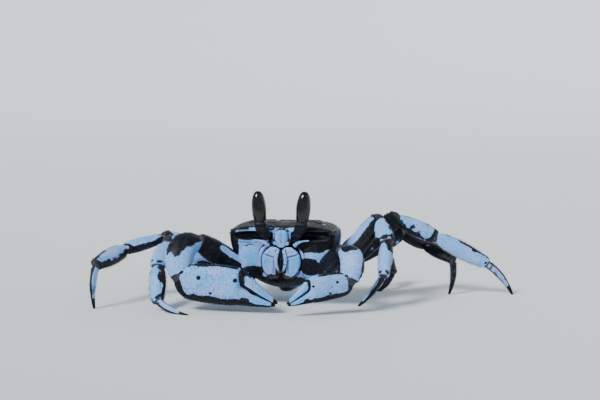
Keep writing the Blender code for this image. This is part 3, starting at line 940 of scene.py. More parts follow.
def propodus_relief(skin):
    """Sharp edges above and below, long furrows on the faces, and fine grains in rows."""
    upper = around(skin.turn, CREST, 13) * (0.16 + 0.2 * teeth(skin, 1.1))
    lower = 0.2 * around(skin.turn, 270, 12)
    furrows = -0.20 * sum(around(skin.turn, angle, 11) for angle in (35, 145, 215, 325))
    grain = 0.14 * on_grid(skin, grains, 0.72) * (0.35 + 0.65 * around(skin.turn, CREST, 80))
    return (upper + lower + furrows + grain) * away_from_ends(skin)


def base_relief(skin):
    """The suture between coxa and ischium, and a few grains."""
    sutures = -0.42 * hump(skin.share, 0.62, 0.035) + 0.2 * hump(skin.share, 0.56, 0.04)
    grain = 0.12 * on_grid(skin, grains, 0.9)
    return sutures + grain * away_from_ends(skin)


LEG_RELIEF = {"base": base_relief, "merus": merus_relief, "carpus": carpus_relief,
              "propodus": propodus_relief}
print("relief for", ", ".join(LEG_RELIEF))

# %% [markdown]
# ## Where the dark lies on a limb
#
# The dark follows what faces the sky and the outer edge of each bend, gathers at the rims, and leaves
# long pale islands on the faces.  The two hind pairs are almost all dark, as painted shade of the
# crab's shadow they stand in.  Each mark is a sum: a base level for the pair, a share for facing up or
# out, a band at the rim, and slow blotches.  Some pieces get more or less of it all over, below, or at
# the far rim; the dark below, and the dark all over the left second merus, are painted shade.  A dactyl
# keeps a long pale strip on each face, between its dark edges and its dark tip.

# %% Marks of a limb
# Legs 3 and 4 are dark all over, as painted shade of the crab's shadow.
LEG_DARKNESS = {1: -0.72, 2: -0.65, 3: 0.85, 4: 1.1}
PART_DARKNESS = {"base": -0.1, "merus": 0.0, "carpus": 0.05, "propodus": -0.2, "dactyl": 0.0}
PIECE_DARKNESS = {      # what one piece has more of: all over, on its lower half as painted shade, and at its far rim
    ("left", 1, "merus"): (0.0, 1.6, 0.0),
    ("left", 1, "carpus"): (-0.9, 0.0, 1.0),
    ("left", 1, "propodus"): (-0.3, 0.0, 0.0),
    # Painted shade: the left second merus is dark all over.
    ("left", 2, "merus"): (1.3, 0.4, 0.0),
    ("left", 2, "carpus"): (0.0, 0.0, 2.2),
    ("left", 2, "propodus"): (-0.2, 0.0, 0.0),
    ("right", 1, "carpus"): (-0.9, 0.3, 0.0),
    ("right", 1, "propodus"): (-0.2, 0.75, 0.0),
    ("right", 2, "propodus"): (-0.1, 1.2, 0.0),
}
BLOTCH = 6.0                            # stretches the slow noise to about -1 to 1


def blotches(points, size):
    """Slow noise about 0."""
    return (drift(points, size) - 0.5) * BLOTCH


def limb_mark(skin, level, blotch_size=8.0):
    """Dark above, on the crest and at the rims, with blotches."""
    sky = grid_normals(skin.points)[..., 2]
    crest = np.sin(skin.turn)
    rim = hump(skin.arc, -0.9, 1.5) * (0.35 + 0.5 * on_grid(skin, lumps, 5.0))
    neck = hump(skin.share, 0.12, 0.09)
    spread = 0.55 * on_grid(skin, blotches, blotch_size)
    return (level + 0.30 * sky + 1.05 * rise(crest, 0.45, 1.0) + 1.0 * rise(-crest, 0.6, 1.0)
            + 0.9 * rim + 0.35 * neck + spread + 2.0 * pegs(skin))


print("darkness of the leg pairs:", LEG_DARKNESS)

# %% Build the legs
DACTYL_BOW = 0.07                       # share of its length
DACTYL_SIDES = 36
FLUTES = 6
made_limbs = {}


def leg_piece(label, number, index, joints, outer):
    """One of the four upper pieces of a leg."""
    part = LEG_PARTS[index]
    skin = limb_grid(joints[index], joints[index + 1], LEG_SHAPES[part],
                     LEG_SECTIONS[number][index], outer[index])
    shape_limb(skin, LEG_RELIEF[part](skin))
    more, below, at_rim = PIECE_DARKNESS.get((label, number, part), (0.0, 0.0, 0.0))
    mark = limb_mark(skin, LEG_DARKNESS[number] + PART_DARKNESS[part] + more)
    # A darker lower half is painted shade.
    mark = mark + below * rise(-np.sin(skin.turn), -0.1, 0.45) + at_rim * hump(skin.arc, -0.6, 1.0)
    node = "leg%d_%s_%s" % (number, label, part)
    finish_limb(node + "_shell", [node], skin, LIMB_SHELL, mark)
    made_limbs[node] = skin


def dactyl_piece(label, number, start, end, outer):
    """The fluted spike, bowed outward, cut flat where it meets the floor."""
    start, end = np.asarray(start), np.asarray(end)
    section = LEG_SECTIONS[number][4]
    length = np.linalg.norm(end - start)
    share = np.linspace(0, 1, int(length / DETAIL * 1.15))
    swell = monotone(*np.transpose(LEG_SHAPES["dactyl"]), share)
    across = unit(np.cross(outer, end - start))
    outward = unit(np.cross(end - start, across))
    path = start + np.outer(share, end - start)
    path += np.outer(DACTYL_BOW * length * 4 * share * (1 - share), outward)
    skin = tube_grid(path, section[0] * swell, section[1] * swell, outer, DACTYL_SIDES)
    measure_along(skin, share, length)
    flute = -0.17 * (0.5 - 0.5 * np.cos(FLUTES * (skin.turn - math.radians(30)))) ** 2
    flute *= rise(skin.share, 0.1, 0.25) * (1 - 0.8 * rise(skin.share, 0.7, 1.0))
    ring = 0.16 * hump(skin.share, 0.12, 0.03)
    grain = 0.07 * on_grid(skin, grains, 0.6) * (1 - rise(skin.share, 0.5, 0.8))
    push(skin, flute + ring + grain)
    horn = rise(skin.share + 0.03 * on_grid(skin, blotches, 1.6), 0.78, 0.94)
    edge = np.abs(np.sin(skin.turn))
    mark = (LEG_DARKNESS[number] * 0.7 + 1.7 * rise(edge, 0.50, 0.90)
            + 0.8 * hump(skin.share, 0.13, 0.07) + 0.35 * on_grid(skin, blotches, 7.0)
            + 1.5 * rise(skin.share, 0.70, 0.88) - 0.25)
    node = "leg%d_%s_dactyl" % (number, label)
    work = bmesh.new()
    facts = {"mark": with_poles(mark), "horn": with_poles(horn)}
    layers = {key: work.verts.layers.float.new(key) for key in facts}
    for index, point in enumerate(with_poles(skin.points)):
        corner = work.verts.new(point)
        for key, values in facts.items():
            corner[layers[key]] = values[index]
    work.verts.ensure_lookup_table()
    for face in grid_faces(*skin.turn.shape):
        work.faces.new([work.verts[index] for index in face])
    cut_flat(work, (0, 0, 0), (0, 0, 1), clear_inner=True)
    mesh = to_mesh(work, node + "_shell")
    store(mesh, "dent", measure_dents(mesh))
    mesh.materials.append(LIMB_SHELL)
    place_piece(mesh, node + "_shell", [node])
    made_limbs[node] = skin


for label, number in LEG_POSE:
    joints, outer = leg_line(label, number)
    for index in range(4):
        leg_piece(label, number, index, joints, outer)
    dactyl_piece(label, number, joints[4], joints[5], outer[4])
print("leg pieces:", len(made_limbs))

# %% [markdown]
# ## The body
#
# A ghost crab's body is a deep box with rounded shoulders.  Its top is the carapace, whose sides
# turn down to meet the breast plates, and its front is a broad wall that holds the mouth.  Such a
# form, with slots for the eyes, teeth at its corners and rows of beads, is hard to draw as one grid.
# So it is assembled from overlapping closed forms, and a voxel remesh melts them into a single even
# skin, as a sculptor blends clay.  The fine relief comes after, because a remesh would swallow it.

# %% Body stations and section
BODY_STATIONS = (       # y, half width, top, height of the widest line, bottom
    (-19.6, 22.8, 34.6, 32.4, 13.0),
    (-18.4, 24.5, 36.8, 33.2, 10.6),
    (-14.0, 24.8, 37.6, 33.0, 8.0),
    (-8.0, 25.0, 38.1, 32.6, 6.9),
    (0.0, 25.3, 38.1, 31.8, 6.6),
    (7.0, 24.4, 36.4, 30.2, 7.3),
    (13.0, 21.2, 33.2, 27.8, 9.0),
    (17.5, 17.0, 29.6, 25.2, 11.8),
    (20.5, 12.6, 26.0, 22.6, 15.0),
    (21.6, 9.4, 24.2, 21.4, 17.0),
)
BODY_TOP_SQUARENESS = 2.8
BODY_BELLY_SQUARENESS = 2.0
BODY_COLUMNS = 160
BODY_ROWS = 70
FACE_Y = -19.6                          # the front wall
ORBIT_X = (4.2, 22.0)
ORBIT_CENTRE = (-20.4, 32.9)
ORBIT_HALVES = (3.6, 2.0)
TOOTH_ROOT = (21.8, -17.0, 33.4)
TOOTH_AIM = (0.62, -0.78, 0.08)
TOOTH_LENGTH = 4.6
TOOTH_RADIUS = 1.5
ROSTRUM_CENTRE = (0.0, -19.8, 31.9)
ROSTRUM_HALF = (3.1, 1.9, 5.0)
BODY_VOXEL = 0.27


def body_line(y):
    """Half width, top, widest height and bottom of the body at some y."""
    return through(BODY_STATIONS, np.clip(y, BODY_STATIONS[0][0], BODY_STATIONS[-1][0]))


def body_loft():
    """The plain body as a closed grid, front to rear."""
    turn = np.linspace(0, np.pi / 2, 6)
    rows_y = np.concatenate([[FACE_Y], FACE_Y + 1.2 * (1 - np.cos(turn))[1:],
                             np.linspace(-18.2, 21.6, BODY_ROWS)])
    half, top, widest, bottom = (column[:, None] for column in body_line(rows_y))
    angle = 2 * np.pi * np.arange(BODY_COLUMNS) / BODY_COLUMNS
    upper = np.sin(angle) >= 0
    power = np.where(upper, 2 / BODY_TOP_SQUARENESS, 2 / BODY_BELLY_SQUARENESS)
    height = np.where(upper, top - widest, widest - bottom)
    x = half * signed_power(np.cos(angle), power)
    z = widest + height * signed_power(np.sin(angle), power)
    y = np.broadcast_to(rows_y[:, None], x.shape)
    return np.stack([x, y, z], axis=2)


def closed_mesh(name, points, faces):
    """A plain mesh object with its faces pointing out, still in millimetres."""
    mesh = new_mesh(name, points, faces)
    work = bmesh.new()
    work.from_mesh(mesh)
    bmesh.ops.recalc_face_normals(work, faces=work.faces)
    work.to_mesh(mesh)
    work.free()
    return add_object(name, mesh)


def closed_grid(name, points):
    """A closed tube from its grid of points."""
    return closed_mesh(name, with_poles(points), grid_faces(*points.shape[:2]))


def line_through(path, spacing, least=8):
    """A fine smooth line through given points, and how far along it each point is."""
    path = np.asarray(path, float)
    known = np.concatenate([[0], np.cumsum(np.linalg.norm(np.diff(path, axis=0), axis=1))])
    wanted = np.linspace(0, known[-1], max(int(known[-1] / spacing), least))
    line = np.stack([monotone(known, path[:, axis], wanted) for axis in range(3)], axis=1)
    return line, known, wanted


def rod(name, path, radii):
    """A round rod along a path of given points."""
    line, known, wanted = line_through(path, 0.4, 6)
    radius = monotone(known, radii, wanted)
    return closed_grid(name, tube_grid(line, radius, radius, (0, 1, 0), 20, 2.0).points)


def beads(name, centres, radii):
    """Many small balls as one mesh."""
    ball = bmesh.new()
    bmesh.ops.create_icosphere(ball, subdivisions=2, radius=1.0)
    corners = np.array([tuple(corner.co) for corner in ball.verts])
    sides = [[corner.index for corner in face.verts] for face in ball.faces]
    ball.free()
    radii = np.broadcast_to(np.asarray(radii, float), len(centres))
    points = np.concatenate([corners * radius + centre for centre, radius in zip(centres, radii)])
    faces = [[index + step * len(corners) for index in side]
             for step in range(len(centres)) for side in sides]
    return closed_mesh(name, points, faces)


body_points = body_loft()
print("body loft:", body_points.shape, "from", body_points.min(axis=(0, 1)).round(1),
      "to", body_points.max(axis=(0, 1)).round(1))

# %% Slots, teeth and rows of beads


def both_sides(function):
    """What a function makes on each side of the body."""
    return [function(side) for side in (1, -1)]


def orbit_slot(side):
    """The long slot under the brow, tapered to its outer end."""
    share = np.linspace(0, 1, 50)
    swell = monotone((0.0, 0.12, 0.6, 0.9, 1.0), (0.8, 1.0, 0.95, 0.75, 0.5), share)
    x = side * (ORBIT_X[0] + share * (ORBIT_X[1] - ORBIT_X[0]))
    path = [(across, *ORBIT_CENTRE) for across in x]
    grid = tube_grid(path, ORBIT_HALVES[1] * swell, ORBIT_HALVES[0] * swell, (0, 0, 1), 28)
    return closed_grid("orbit_slot", grid.points)


def corner_tooth(side):
    """The sharp tooth at a front corner."""
    root, heading = on_side(side, TOOTH_ROOT), unit(on_side(side, TOOTH_AIM))
    share = np.linspace(-0.3, 1, 24)
    radius = TOOTH_RADIUS * np.interp(share, (-0.3, 0.0, 0.6, 1.0), (1.0, 1.0, 0.68, 0.2))
    path = root + np.outer(share * TOOTH_LENGTH, heading)
    return closed_grid("corner_tooth", tube_grid(path, radius * 0.8, radius, (0, 0, 1), 20, 2.0).points)


def brow_beads(side):
    """Fine beads along the upper edge of an orbit, from the rostrum to the tooth."""
    x = np.arange(4.6, 21.5, 0.78)
    centres = np.stack([side * x, np.full(len(x), -19.35), np.full(len(x), 35.15)], axis=1)
    return beads("brow_beads", centres, 0.40)


def lower_orbit_beads(side):
    """Coarser beads along the lower edge, with a gap where the stalk rests."""
    x = np.concatenate([np.arange(6.4, 13.0, 0.92), np.arange(14.6, 21.6, 0.92)])
    z = 30.55 - 0.35 * hump(x, 14, 5.0)
    centres = np.stack([side * x, np.full(len(x), -19.75), z], axis=1)
    return beads("lower_orbit_beads", centres, 0.50 - 0.008 * (x - 6))


def flank_beads(side):
    """Beads along the side edge of the carapace, finer towards the rear."""
    y = np.arange(-16.5, 9.0, 0.95)
    half, _, widest, _ = body_line(y)
    size = 0.52 - 0.011 * (y + 16.5)
    lift = 1.5
    x = half * (1 - (lift / 5.2) ** BODY_TOP_SQUARENESS) ** (1 / BODY_TOP_SQUARENESS)
    return beads("flank_beads", np.stack([side * x, y, widest + lift], axis=1), size)


print("beads on brow, lower orbits and flanks")

# %% Cheeks, mouth frame and rostrum


def cheek(side):
    """The face between orbit and mouth, slightly swollen."""
    grid = tube_grid([(side * (15.2 - 0.04 * z), -18.9, 12.5 + z) for z in np.linspace(0, 16, 40)],
                     1.9 * np.sin(np.linspace(0.25, np.pi - 0.25, 40)) ** 0.5,
                     6.6 * np.sin(np.linspace(0.15, np.pi - 0.15, 40)) ** 0.5, (0, 1, 0), 48, 2.2)
    return closed_grid("cheek", grid.points)


def mouth_frame(side):
    """The raised frame round the mouth plates."""
    path = ((6.4, -19.4, 12.4), (9.2, -19.8, 16.0), (10.2, -20.0, 20.6), (9.6, -20.0, 24.6),
            (7.4, -19.9, 28.0), (4.0, -19.9, 29.4), (1.5, -19.9, 29.6))
    return rod("mouth_frame", on_side(side, path), (0.5, 0.75, 0.8, 0.85, 0.8, 0.7, 0.6))


def antennule(side):
    """The folded antennule in its pit beside the rostrum."""
    path = ((2.6, -20.2, 28.9), (3.6, -21.0, 29.9), (4.3, -20.6, 31.2))
    return rod("antennule", on_side(side, path), (0.75, 0.9, 0.5))


def rostrum():
    """The narrow front between the eyes, bent down like a tongue."""
    angle = np.linspace(0.04, np.pi - 0.04, 40)
    x, y, z = ROSTRUM_CENTRE
    path = [(x, y, z - ROSTRUM_HALF[2] * math.cos(turn)) for turn in angle]
    grid = tube_grid(path, ROSTRUM_HALF[1] * np.sin(angle), ROSTRUM_HALF[0] * np.sin(angle) ** 0.75,
                     (0, 1, 0), 40, 2.2)
    return closed_grid("rostrum_form", grid.points)


def rostrum_beads():
    """Beads round the edge of the rostrum."""
    turn = np.radians(np.arange(-62, 243, 15.0))
    centres = np.stack([2.75 * np.cos(turn), np.full(len(turn), -20.75),
                        31.6 - 4.1 * np.sin(turn)], axis=1)
    return beads("rostrum_beads", centres, 0.36)


print("rostrum half sizes:", ROSTRUM_HALF)

# %% Carve the slots and melt all into one skin


def drop(items):
    """Remove helper objects once they have been used."""
    for item in items:
        mesh = item.data
        bpy.data.objects.remove(item)
        bpy.data.meshes.remove(mesh)


def carve(item, cutters):
    """Subtract closed forms from an object and return the new mesh's object."""
    for cutter in cutters:
        step = item.modifiers.new("cut", "BOOLEAN")
        step.operation = "DIFFERENCE"
        step.solver = "EXACT"
        step.object = cutter
    cut = baked(item)
    drop(cutters + [item])
    return cut


def baked(item):
    """An object whose mesh is what the modifiers make of another's."""
    graph = bpy.context.evaluated_depsgraph_get()
    mesh = bpy.data.meshes.new_from_object(item.evaluated_get(graph))
    return add_object(item.name + "_baked", mesh)


def melt(items, voxel):
    """Join closed forms and remesh them into one even skin."""
    points, faces = [], []
    for item in items:
        base = len(points)
        points += [tuple(corner.co) for corner in item.data.vertices]
        faces += [[base + index for index in face.vertices] for face in item.data.polygons]
    joined = add_object("melted", new_mesh("melted", points, faces))
    step = joined.modifiers.new("melt", "REMESH")
    step.mode = "VOXEL"
    step.voxel_size = voxel
    made = baked(joined)
    drop(items + [joined])
    return made


plain_body = carve(closed_grid("body_form", body_points), both_sides(orbit_slot))
forms = [plain_body, rostrum(), rostrum_beads()]
for maker in (corner_tooth, brow_beads, lower_orbit_beads, flank_beads, cheek, mouth_frame, antennule):
    forms += both_sides(maker)
body = melt(forms, BODY_VOXEL)
print("body skin:", len(body.data.vertices), "points")

# %% [markdown]
# ## Relief of the body
#
# The back shows the organs beneath it as low swellings, parted by furrows.  The deepest furrows form
# an H behind the stomach.  Each furrow is a short chain of points seen from above, and a helper
# measures how far every point of the skin is from it.  Grains cover the back, coarser toward the
# flanks.  Underneath, seams run in from the leg bases between the breast plates.

# %% Furrows, swellings and seams
BACK_FURROWS = (        # depth, half width, points in x and y on one side
    (0.55, 0.85, ((2.2, -3.6), (6.4, -7.0), (11.5, -6.2), (16.5, -9.6))),
    (0.75, 0.95, ((6.4, -7.0), (5.6, -2.0), (4.6, 2.6), (5.2, 8.0), (8.0, 13.5))),
    (0.50, 0.95, ((0.0, 1.8), (4.6, 2.6))),
    (0.38, 0.90, ((5.2, 3.4), (10.5, 1.0), (15.5, 1.8), (21.0, -0.8))),
    (0.26, 0.55, ((0.9, -15.5), (1.2, -9.5), (2.2, -3.6), (0.0, -1.6))),
    (0.30, 0.80, ((0.0, 13.2), (4.4, 12.4))),
    (0.24, 0.60, ((3.2, -17.5), (5.2, -13.0), (9.6, -12.2))),
)
BACK_SWELLINGS = (      # height, radius, place in x and y on one side
    (0.45, 5.0, (4.5, -10.5)),
    (0.55, 5.5, (14.5, -4.0)),
    (0.60, 7.5, (13.0, 7.0)),
    (0.40, 3.6, (0.0, 7.2)),
)
SEAM_Y = (-12.4, -4.6, 4.4, 12.2)
SPLIT_FRONT = np.array([0.0, -19.6, 13.6])      # the seam between carapace and breast plates
SPLIT_REAR = np.array([0.0, 21.6, 20.6])
SPLIT_NORMAL = unit(np.cross([1, 0, 0], SPLIT_REAR - SPLIT_FRONT))
SPLIT_GAP = 0.15                        # on each side of it


def chain_distance(places, chain):
    """Distance in a plane from each place to the nearest bit of a chain of points."""
    nearest = np.full(len(places), 99.0)
    for start, end in zip(chain, chain[1:]):
        start, stretch = np.array(start), np.array(end) - np.array(start)
        share = np.clip((places - start) @ stretch / (stretch @ stretch), 0, 1)
        nearest = np.minimum(nearest, np.linalg.norm(places - start - np.outer(share, stretch), axis=1))
    return nearest


def above_split(points):
    """Height of points over the slanting seam."""
    return (points - SPLIT_FRONT) @ SPLIT_NORMAL


def body_relief(points, outward):
    """How far each point of the body's skin moves out."""
    one_side = np.abs(points[:, :2] * (1, 0)) + points[:, :2] * (0, 1)
    x, y, z = np.abs(points[:, 0]), points[:, 1], points[:, 2]
    back = rise(outward[:, 2], 0.30, 0.75) * rise(z, 22, 25)
    stray = [drift(points, 4.0) - 0.5, drift(points + 40, 4.0) - 0.5]
    wobble = one_side + 0.5 * np.stack(stray, axis=1)
    height = np.zeros(len(points))
    for depth, width, chain in BACK_FURROWS:
        height -= depth * hump(chain_distance(wobble, chain), 0, width) * back
    for tall, radius, (at_x, at_y) in BACK_SWELLINGS:
        height += tall * hump(np.hypot(x - at_x, y - at_y), 0, radius) * back
    flank = rise(x, 6, 20)
    grain = grains(points, 0.95) * (0.09 + 0.13 * flank) * back
    fine = grains(points + 30, 0.55) * 0.05 * back
    wall = 1 - back
    side_grain = grains(points, 0.8) * 0.10 * wall * rise(above_split(points), 0.5, 3.0)
    height += grain + fine + side_grain
    height -= 0.30 * hump(above_split(points), 0, 0.55) * rise(y, -19.2, -17.5)
    pleural = above_split(points) - 8.5 + 0.02 * (y - 2) ** 2
    height -= 0.32 * hump(pleural, 0, 0.5) * rise(y, -17, -14) * (1 - rise(y, 12, 16)) * rise(x, 15, 18)
    median = hump(points[:, 0], 0, 0.8) * rise(-y, 20.0, 20.8) * rise(z, 28, 30)
    height -= 0.40 * median
    belly = rise(-outward[:, 2], 0.1, 0.5) * (above_split(points) < 0)
    for seam in SEAM_Y:
        bend = seam + 0.9 * np.sin(x / 7.5) - 0.012 * (x - 5) ** 2
        height -= 0.42 * hump(y - bend, 0, 0.42) * belly * rise(x, 4, 7) * (1 - rise(x, 18, 21))
    height -= 0.35 * hump(points[:, 0], 0, 0.4) * belly * (1 - rise(y, -9, -7))
    height += 0.08 * grains(points, 0.7) * belly
    return height


def relax(mesh, passes):
    """Soften the small steps that a remesh leaves."""
    places, _ = read_points(mesh)
    for _ in range(passes):
        places = places * 0.5 + neighbour_mean(mesh, places) * 0.5
    mesh.vertices.foreach_set("co", places.ravel())
    mesh.update()


relax(body.data, 3)
body_places, body_outward = read_points(body.data)
body_places = body_places + body_outward * body_relief(body_places, body_outward)[:, None]
body.data.vertices.foreach_set("co", body_places.ravel())
body.data.update()
print("relief done; the body reaches from", body_places.min(axis=0).round(2), "to",
      body_places.max(axis=0).round(2))

# %% [markdown]
# ## Marks of the body
#
# The back is dark, with small pale islands.  A pale strip runs over each orbit, the rostrum is pale,
# and the cheeks are pale with large dark blotches, which join the dark side wall on the crab's left.
# Those on the crab's left are partly mottling and partly painted shade of the side turned from the
# light.  The orbit slots, the pits beside the rostrum and the wall round the mouth plates get painted
# shade too.  The breast is pale, with painted shade below the mouth.  Blotches that have a place are
# soft balls, dark where their strength is positive and pale where it is negative.

# %% Marks on body and mouth
FACE_BLOTCHES = (       # strength, centre, radii
    # The first five lie on the crab's left and are partly mottling, partly painted shade of the side
    # turned from the light.
    (2.4, (14.5, -19.4, 29.6), (9.0, 3.6, 4.6)),
    (2.4, (16.5, -19.0, 36.4), (7.5, 3.0, 2.2)),
    (2.6, (22.0, -17.5, 32.6), (4.6, 6.0, 5.6)),
    (2.4, (24.5, -11.5, 30.5), (3.4, 9.0, 7.5)),
    (1.9, (14.0, -19.6, 18.6), (5.4, 4.0, 4.8)),
    (1.8, (-14.0, -19.6, 15.6), (5.6, 4.0, 4.0)),
    (2.0, (-22.6, -18.4, 26.5), (2.6, 5.0, 8.0)),
    (-2.8, (5.8, -20.0, 36.0), (4.2, 1.8, 1.0)),
    (-2.6, (-12.0, -20.0, 36.1), (5.4, 1.7, 1.0)),
    # Painted shade in the antennule pits beside the rostrum.
    (2.2, (4.6, -19.8, 29.8), (1.8, 2.6, 1.7)),
    (2.2, (-4.6, -19.8, 29.8), (1.8, 2.6, 1.7)),
    (-3.2, (0.0, -21.4, 31.6), (2.5, 1.6, 3.9)),
    # Painted shade on the breast below the mouth.
    (2.2, (0.0, -17.0, 10.0), (16.0, 8.0, 4.6)),
)


def ball(points, centre, radii):
    """1 at the centre of a soft ball and 0 outside it."""
    away = np.linalg.norm((points - np.array(centre)) / np.array(radii), axis=1)
    return 1 - rise(away, 0.6, 1.25)


def body_mark(points, outward):
    """Dark back, pale cheeks and breast, the blotches that have a place, and painted shade in the orbit
    slots and round the mouth plates.
    """
    back = rise(outward[:, 2], 0.15, 0.6) * rise(above_split(points), 8, 12)
    wall = (1 - back) * rise(above_split(points), -1, 1)
    rear = rise(points[:, 1], -15, 4)
    level = -1.15 + 2.3 * back + wall * (0.35 + 0.9 * rear)
    level += blotches(points, 8.5) * (0.45 + 0.2 * back)
    islands = grains(points + 11, 3.4) * rise(lumps(points, 7.0), 0.30, 0.55)
    level -= 2.0 * islands * back
    # Painted shade in the orbit slots.
    slot = sum(ball(points, (x, -17.6, 32.9), (11, 1.9, 2.3)) for x in (13.0, -13.0))
    for strength, centre, radii in FACE_BLOTCHES:
        level += strength * ball(points, centre, radii)
    # Painted shade on the wall round and behind the mouth plates.
    mouth = ball(points, (0.0, -19.6, 21.0), (9.4, 3.0, 8.2))
    return level + 2.2 * np.clip(slot, 0, 1) + 2.6 * mouth


def body_half(keep_upper):
    """The skin above or below the seam, closed by a flat face inside."""
    work = bmesh.new()
    work.from_mesh(body.data)
    side = 1 if keep_upper else -1
    cut_flat(work, SPLIT_FRONT + SPLIT_NORMAL * side * SPLIT_GAP, SPLIT_NORMAL,
             clear_inner=keep_upper, clear_outer=not keep_upper)
    return to_mesh(work, "body_half")


upper, lower = body_half(True), body_half(False)
dress(upper, "carapace_shell", ["carapace"], BACK_SHELL, body_mark(*read_points(upper)))
dress(lower, "breast_plates", ["sternum"], BELLY_SHELL, body_mark(*read_points(lower)))
drop([body])
print("carapace and breast plates made")

# %% [markdown]
# ## Mouth, eyes and antennae
#
# Two hinged plates shut the mouth like a pair of doors.  Each is one broad leg piece grown flat,
# with a smaller one above it, and a jointed feeler, the palp, hangs down along the inner edge.  The
# eyes stand on stalks.  The cornea is one long black oval wrapped round the top of the stalk, and a
# narrow strip of the stalk runs on up its inner side.

# %% Helpers for several forms in one piece


def tapered(path, heights, widths, outer_side, columns, spacing=DETAIL):
    """A tube through listed points whose half sizes are given at each."""
    line, known, wanted = line_through(path, spacing)
    skin = tube_grid(line, monotone(known, heights, wanted), monotone(known, widths, wanted),
                     outer_side, columns)
    skin.distance = np.broadcast_to(wanted[:, None], skin.turn.shape)
    skin.length = wanted[-1]
    skin.share = skin.distance / skin.length
    skin.outward = grid_normals(skin.points)
    return skin


def joined_piece(name, nodes, grids, finish):
    """Several closed tubes as one piece of shell, with the facts they share."""
    points, faces, marks, horns = [], [], [], []
    for grid in grids:
        base = sum(len(part) for part in points)
        points.append(with_poles(grid.points))
        faces += [tuple(base + index for index in face) for face in grid_faces(*grid.turn.shape)]
        marks.append(with_poles(grid.mark))
        horns.append(with_poles(getattr(grid, "horn", np.zeros(grid.turn.shape))))
    mesh = new_mesh(name, np.concatenate(points), faces)
    dress(mesh, name, nodes, finish, np.concatenate(marks), np.concatenate(horns))


print("tubes ready")

# %% Mouth plates
MOUTH_STATIONS = (      # z, inner edge, outer edge, half thickness
    (13.4, 1.9, 4.6, 0.6),
    (14.8, 1.2, 6.8, 1.0),
    (17.5, 0.6, 8.5, 1.2),
    (20.8, 0.45, 9.1, 1.25),
    (23.6, 0.45, 8.7, 1.2),
    (26.2, 0.45, 6.9, 1.0),
    (27.6, 2.4, 5.2, 0.5),
)
MOUTH_Y = -21.2
MOUTH_HINGE_Z = 23.4
PALP = ((1.2, -22.5, 26.4), (1.9, -22.9, 24.4), (2.2, -23.0, 22.0), (2.0, -22.9, 19.6),
        (1.4, -22.7, 17.6), (0.8, -22.4, 16.2))
PALP_RADII = (0.6, 0.85, 0.72, 0.68, 0.48, 0.2)


def mouth_plate(label, side):
    """One plate with its palp."""
    z = np.linspace(MOUTH_STATIONS[0][0], MOUTH_STATIONS[-1][0], 64)
    inner, outer, half_thickness = through(MOUTH_STATIONS, z)
    path = np.stack([np.zeros(len(z)), np.full(len(z), MOUTH_Y), z], axis=1)
    plate = tube_grid(path, half_thickness, (outer - inner) / 2, (0, -1, 0), 84)
    plate.points[..., 0] += side * (outer + inner)[:, None] / 2
    plate.outward = grid_normals(plate.points)
    x = side * plate.points[..., 0]                    # distance from the middle of the mouth
    height = plate.points[..., 2]
    front = rise(plate.outward[..., 1] * -1, 0.2, 0.7)
    hinge = height - MOUTH_HINGE_Z - 0.30 * (x - 4.5)
    relief = -0.42 * hump(hinge, 0, 0.30) + 0.12 * hump(np.abs(hinge), 0.8, 0.4)
    below = 1 - rise(hinge, -0.8, -0.2)
    relief = relief - 0.30 * hump(x, 3.3, 0.45) * below * rise(height, 14.5, 16)
    relief = relief + 0.25 * hump(x - outer[:, None], -1.0, 0.6)
    relief = relief - 0.12 * (1 - below) * hump(x, 5.0, 1.6)
    relief = relief + 0.12 * on_grid(plate, grains, 0.75)
    push(plate, relief * front)
    # Painted shade along the slit where the two plates meet.
    middle = (1 - rise(x, 2.2, 3.0)) * rise(height, 15.0, 16.5) * (1 - rise(height, 26.0, 27.5))
    rim = rise(x - outer[:, None], -1.0, -0.1)
    # The lower ends are darkened too, as painted shade below the mouth.
    plate.mark = (-1.5 + 2.7 * middle * front + 0.45 * on_grid(plate, blotches, 5.0)
                  + 2.0 * (1 - rise(height, 14.6, 16.6)) + 1.5 * rim)
    palp = tapered(on_side(side, PALP), np.array(PALP_RADII) * 0.75, PALP_RADII, (0, -1, 0), 28, 0.2)
    knots = hump(palp.distance, 1.9, 0.22) + hump(palp.distance, 6.6, 0.22)
    push(palp, -0.16 * knots + 0.05 * on_grid(palp, grains, 0.5))
    palp.mark = -1.4 + 1.6 * knots + 0.4 * on_grid(palp, blotches, 3.0)
    joined_piece("mouth_plate_" + label, ["maxilliped_" + label],
                 [plate, palp], BELLY_SHELL)
    plate.length = z[-1] - z[0]
    plate.share = (height - z[0]) / plate.length
    plate.along = -plate.along                         # its bristles point down
    made_limbs["mouth_" + label], made_limbs["palp_" + label] = plate, palp


for label, side in SIDES.items():
    mouth_plate(label, side)
print("mouth plates and palps made")

# %% Eyes on their stalks
EYE_STALK_PATH = ((6.6, -19.8, 32.4), (8.2, -21.6, 34.8), (9.5, -22.2, 38.0), (10.1, -22.0, 41.0))
EYE_STALK_HEIGHTS = (1.8, 2.2, 2.5, 2.1)
EYE_STALK_WIDTHS = (1.9, 2.5, 2.85, 2.3)
CORNEA_FOOT = (9.6, -22.0, 37.4)
CORNEA_TIP = (11.0, -20.8, 53.6)
CORNEA_HALF_WIDTH = 3.4
CORNEA_ROUNDNESS = 0.8
CORNEA_RINGS, CORNEA_SIDES = 56, 64
STRIP_SPAN = (0.08, 0.62)               # where along the cornea the stalk's strip runs
FRONT = (0, -1, 0)


def cornea_ends(side):
    """Foot and tip of a cornea."""
    return on_side(side, CORNEA_FOOT), on_side(side, CORNEA_TIP)


